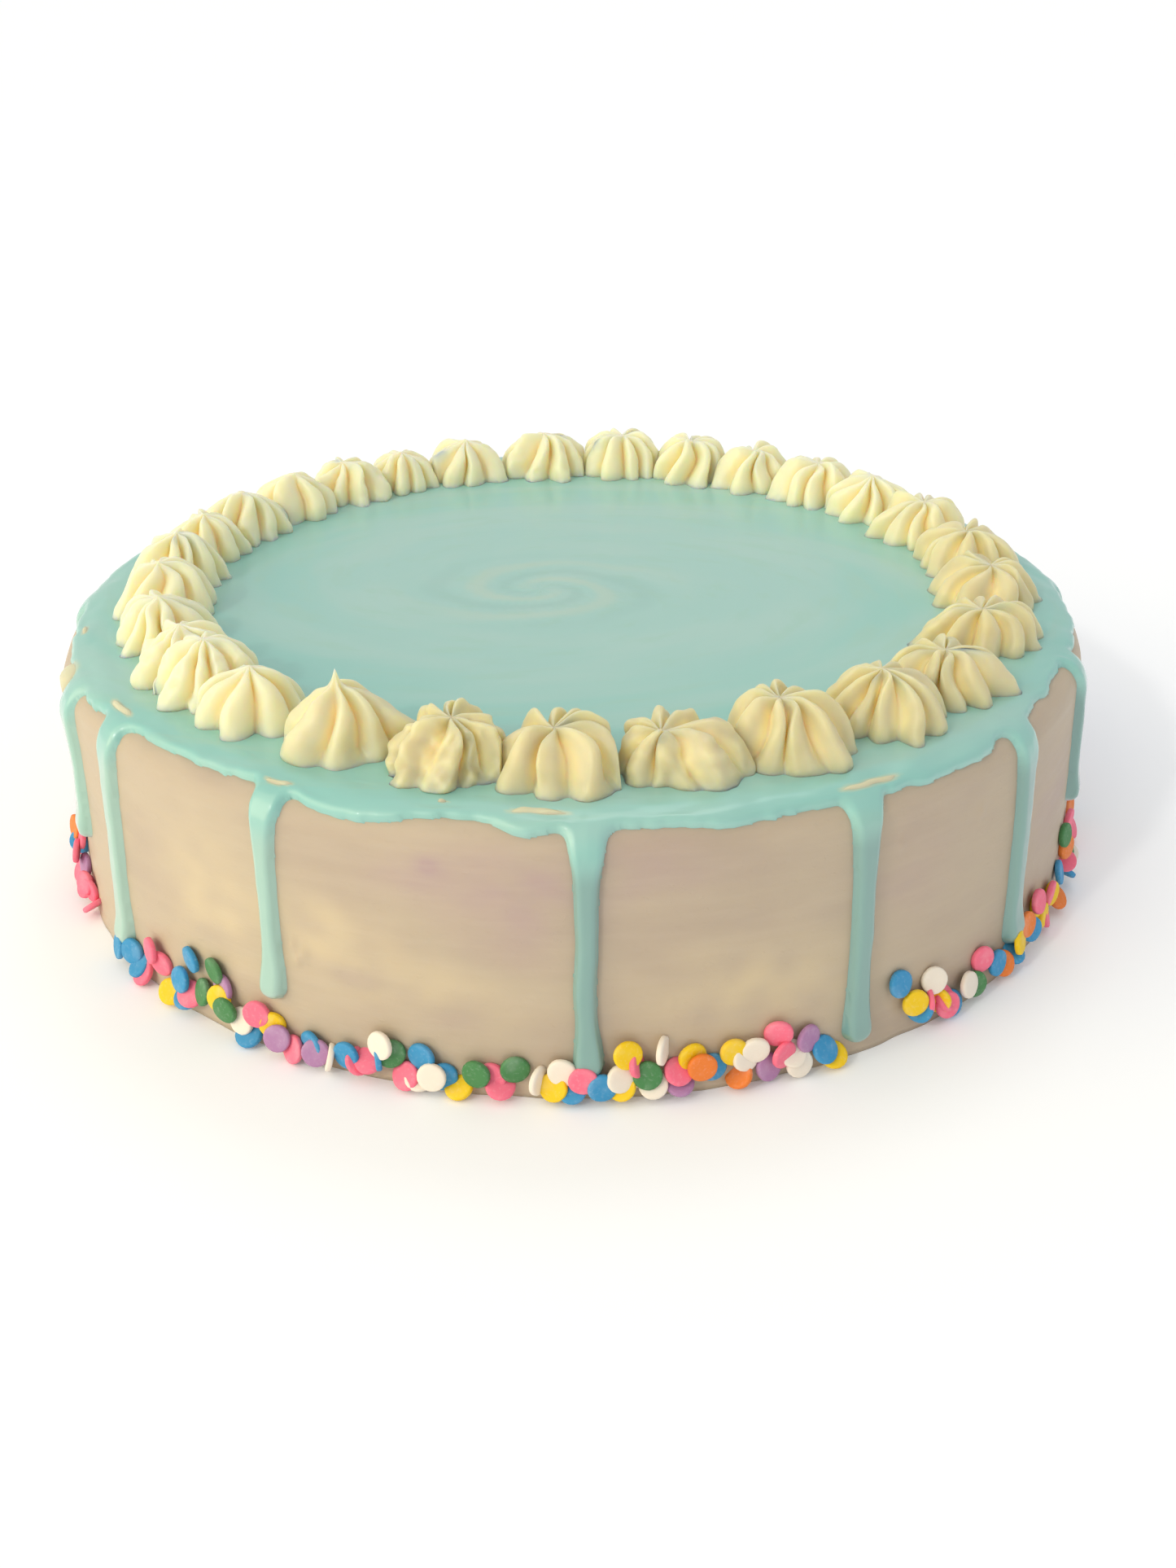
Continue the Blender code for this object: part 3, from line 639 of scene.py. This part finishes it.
def hem_run(angle):
    """How far the glaze runs over the edge of the flat top between its drips."""
    points = [(place + turn, run) for turn in (-360.0, 0.0, 360.0) for place, run in HEM]
    for (low, low_run), (high, high_run) in zip(points, points[1:]):
        if low <= angle % 360.0 <= high:
            run = blend(low_run, high_run, ease((angle % 360.0 - low) / (high - low)))
            break
    uneven = 0.9 * grain(angle, 0.0, 7.0 * MM, 1.0, 3.0) + 0.5 * grain(angle, 0.0, 2.6 * MM, 1.0, 5.0)
    return (run + uneven) * MM


def drip_inside(angle, run):
    """How far inside the nearest drip's outline a place is. It is below 0 outside every drip."""
    best = -1.0
    for drip_angle, end, half_width in DRIPS:
        aside = math.radians(turn_between(drip_angle, angle)) * (TOP_RADIUS + 1.0 * MM)
        if abs(aside) > 12.0 * MM:
            continue
        aside -= 0.5 * MM * noise.noise(Vector((drip_angle, run / (14.0 * MM), 0.0)))
        finish = run_at(end * MM)
        swell = ease((run - finish + 14.0 * MM) / (11.0 * MM))
        flare = DRIP_FLARE * math.exp(-max(0.0, run - 6.0 * MM) / (5.0 * MM))
        half = half_width * MM * (DRIP_SLIM + DRIP_SWELL * swell + flare)
        half += 0.15 * MM * noise.noise(Vector((drip_angle + 9.0, run / (6.0 * MM), 0.0)))
        middle = finish - half_width * MM * 0.96
        inside = half - abs(aside) if run < middle else half - math.hypot(aside, run - middle)
        best = max(best, inside)
    return best


def glaze_inside(angle, run):
    """How far inside the glaze's outline a place is, with the hem and drips rounded into each other."""
    return smooth_max(hem_run(angle) - run, drip_inside(angle, run), HEM_BLEND)


def bead_lift(angle, run):
    """How much thicker a drip is at its low end, where it gathers in a bead."""
    aside, end = min((abs(turn_between(drip[0], angle)), drip[1]) for drip in DRIPS)
    if aside > BEAD_HALF_TURN:
        return 0.0
    above_end = (run_at(end * MM) - run) / MM
    return BEAD_LIFT * math.exp(-((above_end - BEAD_ABOVE) / BEAD_HALF_HEIGHT) ** 2)


def glaze_lift(angle, run, inside):
    """The glaze's height above the plain skin: a rounded edge, full on drips, thin over the rim's ridge."""
    on_side = ease((run - 5.0 * MM) / (6.0 * MM))
    lip = 1.0 + 0.45 * grain(angle, 0.0, 11.0 * MM, 1.0, 33.0)
    full = blend(GLAZE_LIFT, DRIP_LIFT, on_side) + bead_lift(angle, run)
    if run > -4.0 * MM:
        ridge = math.exp(-((run / MM - 1.3) / 1.8) ** 2) * ease((inside / MM - 0.8) / 1.5)
        full -= ridge * (0.30 + 0.4 * grain(angle, run, 8.0 * MM, 4.0 * MM, 60.0)) * MM
        full += 0.12 * MM * grain(angle, run, 5.0 * MM, 5.0 * MM, 20.0)
    round_over = blend(blend(2.6 * MM, 1.3 * MM, min(1.0, max(0.0, lip - 0.5))), 1.7 * MM, on_side)
    share = min(1.0, max(0.0, inside / round_over))
    edge = math.sqrt(max(0.0, 1.0 - (1.0 - share) ** 2))
    full *= blend(min(1.0, blend(0.65, 1.0, lip - 0.4)), 1.0, max(on_side, ease(inside / (5.0 * MM))))
    return full * edge - EDGE_DIP * (1.0 - edge)


def glaze_angles():
    """The angles of the glaze's columns: fine across each drip, wider between drips."""
    order = sorted(DRIPS)
    fine_turn, wide_turn = math.degrees(FINE_STEP / TOP_RADIUS), math.degrees(WIDE_STEP / TOP_RADIUS)
    angles = []
    for drip, after in zip(order, order[1:] + [(order[0][0] + 360.0, 0.0, order[0][2])]):
        margin = math.degrees((drip[2] * MM + DRIP_MARGIN) / TOP_RADIUS)
        after_margin = math.degrees((after[2] * MM + DRIP_MARGIN) / TOP_RADIUS)
        angles += spread_steps(drip[0] - margin, drip[0] + margin, fine_turn)[:-1]
        angles += spread_steps(drip[0] + margin, after[0] - after_margin, wide_turn)[:-1]
    while len(angles) % 4:
        angles.pop()
    return angles


def snap_to_edge(angle, run, inside):
    """Move a place that is just off the outline onto it, so that the edge is drawn sharp."""
    probe = 0.15 * MM
    turn = math.degrees(probe / TOP_RADIUS)
    slope_aside = (glaze_inside(angle + turn, run) - inside) / probe
    slope_down = (glaze_inside(angle, run + probe) - inside) / probe
    steep = max(0.3, slope_aside ** 2 + slope_down ** 2)
    angle -= math.degrees(inside * slope_aside / steep / TOP_RADIUS)
    return angle, run - inside * slope_down / steep


def swirl_marks(x, y):
    """The spiral's coordinates at a place on the top, its pale crescents on the raised arms (partly cream
    tone, partly painted light), its dark crescents in the grooves (painted shade), and its height.
    """
    across, deep = (x - SWIRL_MIDDLE[0]) / SWIRL_STRETCH, y - SWIRL_MIDDLE[1]
    reach = math.hypot(across, deep)
    turn = math.atan2(deep, across)
    wound = turn + SWIRL_TURN * reach
    spiral = (1.4 * math.cos(wound), 1.4 * math.sin(wound), reach / (13.0 * MM))
    patch = math.exp(-(reach / SWIRL_REACH) ** 6)
    waver = 0.35 * noise.noise(Vector((x, y, 0.0)) / (16.0 * MM))
    arms = math.sin(2.0 * turn + SWIRL_ARMS * (reach / SWIRL_REACH) ** 0.8 + 1.0 + waver * 4.0)
    grown = ease(reach / (0.35 * SWIRL_REACH))
    pale = patch * grown * ease((arms - 0.25) / 0.75)
    dark = patch * grown * ease((-arms - 0.35) / 0.65)
    return spiral, pale, dark, arms * patch * grown


def make_glaze():
    """The glaze from the middle of the top, over the rim and down each drip."""
    angles = glaze_angles()
    count = len(angles)
    lowest = run_at(min(end for _, end, _ in DRIPS) * MM) + 1.5 * MM
    runs = spread_steps(TOP_RUN, FINE_END, FINE_STEP) + spread_steps(FINE_END, lowest, LOWER_ROW)[1:]
    bm = bmesh.new()
    marks = {"thin": [], "drip": [], "middle": [], "pale": [], "dark": [], "gloss": [], "spiral": []}

    def add_vertex(angle, run, lift, thin):
        point = skin_point(angle, run, lift)
        spiral, pale, dark, height = swirl_marks(point.x, point.y)
        point.z += SWIRL_HEIGHT * height
        marks["thin"].append(thin)
        # Painted light and shade on the side: paler near the lit angle, deeper away from it
        away = ease((abs(turn_between(LIT_ANGLE, angle)) - LIT_TURN) / LIT_TURN)
        on_side = ease((run - 6.0 * MM) / (8.0 * MM))
        marks["drip"].append(blend(0.0, DRIP_PAINTED_SHADE, away) * on_side)
        marks["gloss"].append(blend(0.15, 1.0, ease((run - 1.0 * MM) / (6.0 * MM))))
        marks["middle"].append(1.0 - ease((math.hypot(point.x, point.y) - 48.0 * MM) / (32.0 * MM)))
        marks["pale"].append(SWIRL_PALE * pale + DRIP_PAINTED_LIGHT * (1.0 - away) * on_side)
        marks["dark"].append(SWIRL_DARK * dark)
        marks["spiral"].append(spiral)
        return bm.verts.new(point)

    grid = {}
    for j, run in enumerate(runs):
        for i, angle in enumerate(angles):
            inside = glaze_inside(angle, run)
            if inside < -EDGE_MARGIN:
                continue
            place = (angle, run)
            if abs(inside) < EDGE_SNAP and run > -2.0 * MM:
                place = snap_to_edge(angle, run, inside)
                inside = 0.0
            lift = glaze_lift(*place, inside)
            shown = lift - frosting_lift(*place) if run > -3.0 * MM else lift
            thin = 0.8 * (1.0 - ease((shown / MM + 0.1) / 0.8)) if inside > 0.9 * MM else 0.0
            grid[i, j] = add_vertex(*place, lift, thin)
    for j in range(len(runs) - 1):
        for i in range(count):
            k = (i + 1) % count
            corners = [grid.get(key) for key in ((i, j), (i, j + 1), (k, j + 1), (k, j))]
            if all(corners):
                bm.faces.new(corners)
    radii = spread_steps(FLAT_EDGE + TOP_RUN, INNER_RING, -TOP_STEP)[1:]
    coarse = [angles[i] for i in range(0, count, 4)]
    rings = []
    for radius in radii:
        rings.append([add_vertex(angle, radius - FLAT_EDGE, GLAZE_LIFT, 0.0) for angle in coarse])
    for i, corner in enumerate(rings[0]):
        fine = [grid[(4 * i + step) % count, 0] for step in range(5)]
        bm.faces.new([corner] + fine + [rings[0][(i + 1) % len(coarse)]])
    for outer, inner in zip(rings, rings[1:]):
        for i in range(len(coarse)):
            bm.faces.new((outer[i], outer[i - 1], inner[i - 1], inner[i]))
    bm.faces.new(rings[-1])
    piece = make_piece("glaze", bm, glaze_material(), marks)
    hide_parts("drip_glaze")


# Piped stars

def star_shape(index):
    """A star's own numbers, as its solid has them: ridges, twist, valleys and lean."""
    draw = random.Random(STAR_SEED * 100 + index)
    count, first = STARS[index][3:]
    (low, _), (high, _) = star_seams(index)
    stretch = min(STAR_STRETCH, max(1.0, STAR_CROWDING * (high - low) / 2 / STAR_REACH))
    ridges = []
    for i in range(count):
        turn = first + (i + draw.uniform(-RIDGE_SHIFT, RIDGE_SHIFT)) * 360.0 / count
        aside = abs(math.sin(math.radians(turn)))
        ridges.append((turn, draw.uniform(*RIDGE_LENGTHS) * STAR_REACH * blend(1.0, stretch, aside)))
    if index in RIDGES:
        ridges = sorted((turn, length * MM) for turn, length in RIDGES[index])
    return {
        "ridges": ridges + [(ridges[0][0] + 360.0, ridges[0][1])],
        "twist": draw.uniform(*STAR_TWISTS),
        "valley": draw.uniform(*VALLEY_LENGTHS),
        "foot": VALLEY_FEET[index in FULL_FEET],
        "lean": (draw.uniform(-STAR_LEAN, STAR_LEAN), draw.uniform(-STAR_LEAN, STAR_LEAN)),
    }


def star_profile(level, domed):
    """A ridge's reach, and the star's height on a crest and in a valley, all as shares."""
    reach = max(0.0, math.cos(level * math.pi / 2)) ** REACH_ROUND
    crest_rise = (1.0 - reach ** domed) ** CREST_ROUND
    sunken = max(0.0, domed - SUNKEN_FROM) * SUNKEN_DEPTH * (1.0 - reach) ** 2
    return reach, crest_rise - sunken, blend(crest_rise, 1.0 - reach, VALLEY_DEPTH) - sunken


def star_seams(index):
    """The seams with the star before and the star after: offset along the ring, and slope."""
    seams = []
    for first in ((index - 1) % len(STARS), index):
        start = STARS[first][0]
        half = turn_between(start, STARS[(first + 1) % len(STARS)][0]) / 2
        middle = turn_between(STARS[index][0], start + half)
        slope = math.tan(math.radians(middle + SEAM_TURNS.get(first, 0.0)))
        seams.append((STAR_RING_RADIUS * math.tan(math.radians(middle)), slope))
    return seams


def star_detail(index):
    """What the fine star adds to its solid: how each ridge is rounded, sways and ends."""
    draw = random.Random(STAR_SEED * 500 + index)
    ridges = range(STARS[index][3])
    sunken = STARS[index][2] > SUNKEN_FROM
    return {
        "crest": [(draw.uniform(0.9, 1.6), draw.uniform(1.0, 2.0)) for _ in ridges],
        "hollow": [(draw.uniform(0.8, 1.4), draw.uniform(1.0, 1.9)) for _ in ridges],
        "valley": [draw.uniform(0.42, 0.66) for _ in ridges],
        "sway": [draw.uniform(-16.0, 16.0) for _ in ridges],
        "bend": [draw.uniform(-10.0, 10.0) for _ in ridges],
        "toe": [draw.uniform(-0.6, 1.3) * MM for _ in ridges],
        "height": [draw.uniform(0.0, 0.24) if sunken else draw.uniform(-0.12, 0.14) for _ in ridges],
        "nub": SPIKE if index == SPIKED_STAR else draw.uniform(0.0, 0.3 if sunken else 0.9) * MM,
        "seed": draw.uniform(0.0, 90.0),
    }


def soft_limit(value, limit, give):
    """Keep a value under a limit, easing into it over the given length."""
    over = (limit - value) / give
    return value if over > 8.0 else limit - give * math.log(1.0 + math.exp(over))


def crest_share(detail, ridge, after, share):
    """How far up a crest a place between two ridges is: 1 on either crest and 0 in the valley."""
    middle = detail["valley"][ridge]
    if share < middle:
        turn, near, side = 0.5 * share / middle, ridge, 0
    else:
        turn, near, side = 0.5 + 0.5 * (share - middle) / (1.0 - middle), after, 1
    across = abs(math.cos(math.pi * turn)) ** detail["hollow"][near][side]
    return 1.0 - (1.0 - across) ** detail["crest"][near][side]


def star_point(index, shape, detail, ridge, step, level):
    """A point on a star's surface, and how deep in a valley it lies."""
    angle, height, domed, ridges = STARS[index][:4]
    reach, crest_rise, valley_rise = star_profile(level, domed)
    share = step / RIDGE_STEPS
    after = (ridge + 1) % ridges
    crest = crest_share(detail, ridge, after, share)
    crest = blend(0.5 + 0.5 * math.cos(2.0 * math.pi * share), crest, ease(reach * 2.0))
    (turn, length), (next_turn, next_length) = shape["ridges"][ridge:ridge + 2]
    length = blend(length, next_length, ease(share)) * reach
    drawn_in = blend(shape["foot"], shape["valley"], min(1.0, crest_rise / FOOT_BAND))
    length *= blend(drawn_in, 1.0, crest)
    near = ridge if share < 0.5 else after
    length += detail["toe"][near] * crest ** 2 * math.exp(-crest_rise / 0.08)
    valley_rise = blend(crest_rise, valley_rise, 0.35 + 0.65 * ease(reach / 0.35))
    puffed = blend(detail["height"][ridge], detail["height"][after], ease(share))
    lifted = crest_rise * (1.0 + puffed * math.sin(math.pi * reach ** 1.2))
    rise = blend(valley_rise, lifted, crest)
    sway = blend(detail["sway"][ridge], detail["sway"][after], ease(share))
    bend = blend(detail["bend"][ridge], detail["bend"][after], ease(share))
    around = blend(turn, next_turn, share) + shape["twist"] * (1.0 - reach)
    around += sway * math.sin(math.pi * reach)
    around += bend * math.sin(2.0 * math.pi * reach)
    around = math.radians(around)
    tip_share = math.exp(-((max(0.0, length) / NUB_WIDTH) ** 1.3))
    outward = STAR_RING_RADIUS + length * math.cos(around) + shape["lean"][0] * (1.0 - reach)
    along = length * math.sin(around) + shape["lean"][1] * (1.0 - reach) * (1.0 + tip_share)
    foot = CAKE_HEIGHT + GLAZE_LIFT - STAR_SKIRT
    body = height * MM - detail["nub"]
    up = foot + STAR_SKIRT * min(1.0, rise * 8.0) + rise * body + detail["nub"] * tip_share
    seeded = Vector((detail["seed"], 0.0, 0.0))
    point = Vector((outward, along, up))
    small = SMALL_LUMPS[1] + TORN_LUMPS * TORN_STARS.get(index, 0.0)
    lump = noise.noise(point / WIDE_LUMPS[0] + seeded) * WIDE_LUMPS[1] * MM
    lump += noise.noise(point / SMALL_LUMPS[0] + seeded) * small * MM
    point += Vector((math.cos(around), math.sin(around), 0.5)) * lump * min(1.0, reach * 2.5)
    (low, low_slope), (high, high_slope) = star_seams(index)
    beyond = point.x - STAR_RING_RADIUS
    point.y = soft_limit(point.y, high + high_slope * beyond + SEAM_BULGE, SEAM_GIVE)
    point.y = -soft_limit(-point.y, -low - low_slope * beyond + SEAM_BULGE, SEAM_GIVE)
    deep = (1.0 - crest) * min(1.0, 2.2 * reach) * min(1.0, 0.55 + crest_rise)
    return Matrix.Rotation(math.radians(angle), 4, "Z") @ point, deep


def make_star(index, material):
    """One piped star: ridges that run from a splayed foot up to a pulled tip."""
    shape = star_shape(index)
    detail = star_detail(index)
    bm = bmesh.new()
    valleys = []
    rows = []
    for level in STAR_LEVELS:
        row = []
        for ridge in range(STARS[index][3]):
            for step in range(RIDGE_STEPS):
                point, deep = star_point(index, shape, detail, ridge, step, level)
                row.append(bm.verts.new(point))
                valleys.append(deep)
        rows.append(row)
    count = len(rows[0])
    bm.faces.new(rows[0])
    for lower, upper in zip(rows, rows[1:]):
        for i in range(count):
            bm.faces.new((lower[i - 1], lower[i], upper[i], upper[i - 1]))
    tip, _ = star_point(index, shape, detail, 0, 0, 1.0)
    peak = bm.verts.new(tip)
    valleys.append(0.0)
    for i in range(count):
        bm.faces.new((rows[-1][i - 1], rows[-1][i], peak))
    # Painted light and shade: stars near the shaded angle keep the deeper yellow, the others are painted
    # pale
    away = abs(turn_between(SHADED_STAR_ANGLE, STARS[index][0]))
    pale = ease((away - SHADED_STAR_TURN) / SHADED_STAR_FADE)
    marks = {"valley": valleys, "pale": [pale] * len(valleys)}
    piece = make_piece(f"star_{index + 1:02d}", bm, material, marks)
    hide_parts(f"rosette_{index + 1:02d}")


# Confetti

def confetti_places():
    """Each piece of confetti in turn, the solid's first: angle, height, lean, turn of its face, and roll."""
    solid = random.Random(CONFETTI_SEED)
    spare = random.Random(CONFETTI_SEED + 1)
    starts = []
    for extra, draw in ((False, solid), (True, spare)):
        for pile, (middle, spread, top, count) in enumerate(PILES):
            if not extra:
                starts.append((draw.random(), draw.random()))
            first_angle, first_height = starts[pile]
            half = round(count * SOLID_SHARE)
            for i in range(half, count) if extra else range(half):
                across = (first_angle + i * ANGLE_STEP) % 1.0
                share = (first_height + i * HEIGHT_STEP) % 1.0
                angle = middle + spread * (2.0 * across - 1.0)
                lean = draw.uniform(*(LOW_LEANS if share < LOW_SHARE else HIGH_LEANS))
                turned = draw.uniform(-FACE_TURN, FACE_TURN)
                if draw.randrange(EDGE_ON_EVERY) == 0:
                    turned = math.copysign(EDGE_ON_TURN, turned)
                half_rise = CONFETTI_RADIUS * math.cos(math.radians(lean))
                half_rise += CONFETTI_THICKNESS / 2 * abs(math.sin(math.radians(lean)))
                height = half_rise + CONFETTI_FLOOR + max(0.0, top * MM - half_rise) * share
                yield angle % 360.0, height, lean, turned, draw.uniform(0.0, 45.0)


def confetti_pose(place, layer, over_drip):
    """The matrix that lays a disc, made flat about its own Z, against the side or on what is under it."""
    angle, height, lean, turned, roll = place
    facing = math.cos(math.radians(lean)) * math.cos(math.radians(turned))
    stand_off = CONFETTI_RADIUS * math.sqrt(1.0 - facing * facing) + CONFETTI_THICKNESS / 2 * facing
    half_depth = stand_off
    stand_off += layer * LAYER_STEP * CONFETTI_THICKNESS - CONFETTI_SINK + over_drip * DRIP_LIFT
    stand_off = min(stand_off, CONFETTI_OUT - half_depth)
    spin = Matrix.Rotation(math.radians(roll), 4, "Z")
    tilt = Matrix.Rotation(math.radians(90.0 - lean), 4, "Y")
    face = Matrix.Rotation(math.radians(angle + turned), 4, "Z")
    return Matrix.Translation(skin_point(angle, run_at(height), stand_off)) @ face @ tilt @ spin


def add_disc(bm, pose, seed):
    """A pressed sugar disc with rounded edges and a slightly uneven outline."""
    rings = DISC_EDGE + tuple((reach, -rise) for reach, rise in reversed(DISC_EDGE))
    rows = []
    for reach, rise in rings:
        row = []
        for i in range(DISC_SIDES):
            turn = 2.0 * math.pi * i / DISC_SIDES
            across, along = math.cos(turn), math.sin(turn)
            uneven = 1.0 + DISC_UNEVEN * noise.noise(Vector((across, along, seed * 3.7)))
            radius = CONFETTI_WIDTH * reach * uneven
            height = CONFETTI_THICKNESS / 2 * rise
            row.append(bm.verts.new(pose @ Vector((radius * across, radius * along, height))))
        rows.append(row)
    bm.faces.new(rows[0])
    bm.faces.new(rows[-1])
    for upper, lower in zip(rows, rows[1:]):
        for i in range(DISC_SIDES):
            bm.faces.new((upper[i], upper[i - 1], lower[i - 1], lower[i]))


def make_confetti():
    """All the confetti, one piece for each colour. Where pieces crowd, the later ones lie on the others."""
    draw = random.Random(CONFETTI_SEED + 2)
    names = [name for name, _, _ in CONFETTI_COLOURS]
    weights = [weight for _, _, weight in CONFETTI_COLOURS]
    meshes = {name: bmesh.new() for name in names}
    laid = []
    for i, place in enumerate(confetti_places()):
        spot = skin_point(place[0], run_at(place[1]), 0.0)
        layer = min(MOST_LAYERS, sum((spot - other).length < CROWDED for other in laid))
        laid.append(spot)
        over_drip = ease(0.5 + drip_inside(place[0], run_at(place[1])) / (2.0 * MM))
        colour = draw.choices(names, weights)[0]
        add_disc(meshes[colour], confetti_pose(place, layer, over_drip), i)
    for name, hex_colour, _ in CONFETTI_COLOURS:
        piece = make_piece("confetti_" + name, meshes[name], confetti_material(name, hex_colour))
        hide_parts("cake")


# The studio

def make_floor():
    """A plain pale floor that gives off a little light of its own, so that it stays white."""
    bm = bmesh.new()
    bmesh.ops.create_grid(bm, x_segments=1, y_segments=1, size=20.0)
    mesh = bpy.data.meshes.new("floor")
    bm.to_mesh(mesh)
    bm.free()
    material, _, shader = new_material("floor")
    shader.inputs["Base Color"].default_value = FLOOR_COLOUR
    shader.inputs["Roughness"].default_value = 0.9
    shader.inputs["Emission Color"].default_value = (1.0, 1.0, 1.0, 1.0)
    shader.inputs["Emission Strength"].default_value = FLOOR_GLOW
    mesh.materials.append(material)
    floor = bpy.data.objects.new("floor", mesh)
    bpy.context.scene.collection.objects.link(floor)
    floor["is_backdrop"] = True


def add_light(name, kind, azimuth, elevation, distance, width, power, colour):
    """A light that faces the cake. Its width is in degrees for a sun and in metres for a lamp."""
    light = bpy.data.lights.new(name, kind)
    if kind == "SUN":
        light.angle = math.radians(width)
    else:
        light.size = width
    light.energy = power
    light.color = colour
    lamp = bpy.data.objects.new(name, light)
    turn, lift = math.radians(azimuth), math.radians(elevation)
    toward = Vector((math.cos(lift) * math.cos(turn), math.cos(lift) * math.sin(turn), math.sin(lift)))
    lamp.location = toward * distance
    lamp.rotation_euler = toward.to_track_quat("Z", "Y").to_euler()
    bpy.context.scene.collection.objects.link(lamp)


def make_lights():
    """A pale room, a wide warm window and a lamp at the left, a weak sun behind and a small sharp one."""
    world = bpy.data.worlds.new("studio")
    world.use_nodes = True
    world.node_tree.nodes["Background"].inputs["Color"].default_value = ROOM_COLOUR
    world.node_tree.nodes["Background"].inputs["Strength"].default_value = ROOM_STRENGTH
    bpy.context.scene.world = world
    for light in LIGHTS:
        add_light(*light)


def make_camera():
    """The photograph's camera: pitched at the cake's axis, then tilted, rolled and turned a little."""
    pitch, tilt, roll, yaw = (math.radians(a) for a in (CAMERA_PITCH, CAMERA_TILT, CAMERA_ROLL, CAMERA_YAW))
    back = Vector((0.0, -math.cos(pitch), math.sin(pitch)))
    place = Vector((0.0, 0.0, AIM_HEIGHT)) + back * CAMERA_DISTANCE
    right = Vector((1.0, 0.0, 0.0))
    up = right.cross(-back)
    ahead = -back * math.cos(yaw) + right * math.sin(yaw)
    aside = right * math.cos(yaw) + back * math.sin(yaw)
    tilted = ahead * math.cos(tilt) + up * math.sin(tilt)
    upright = up * math.cos(tilt) - ahead * math.sin(tilt)
    rolled = aside * math.cos(roll) + upright * math.sin(roll)
    top = upright * math.cos(roll) - aside * math.sin(roll)
    data = bpy.data.cameras.new("camera")
    data.sensor_width = SENSOR
    data.lens = SENSOR * FOCAL_PIXELS / IMAGE_HEIGHT
    data.clip_start = 0.01
    camera = bpy.data.objects.new("camera", data)
    bpy.context.scene.collection.objects.link(camera)
    turn = Matrix((rolled, top, -tilted)).transposed().to_4x4()
    camera.matrix_world = Matrix.Translation(place) @ turn
    bpy.context.scene.camera = camera


def write_sizes():
    """Gather the boxes of the solids and of the dressed part side by side, as plain numbers."""
    boxes = {"cad": cad_box, "visual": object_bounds()}
    plain = {name: [[float(v) for v in corner] for corner in box] for name, box in boxes.items()}


bpy.context.scene.view_settings.view_transform = "Standard"
make_frosting()
make_glaze()
buttercream = buttercream_material()
for index in range(len(STARS)):
    make_star(index, buttercream)
make_confetti()
make_floor()
make_lights()
make_camera()
write_sizes()
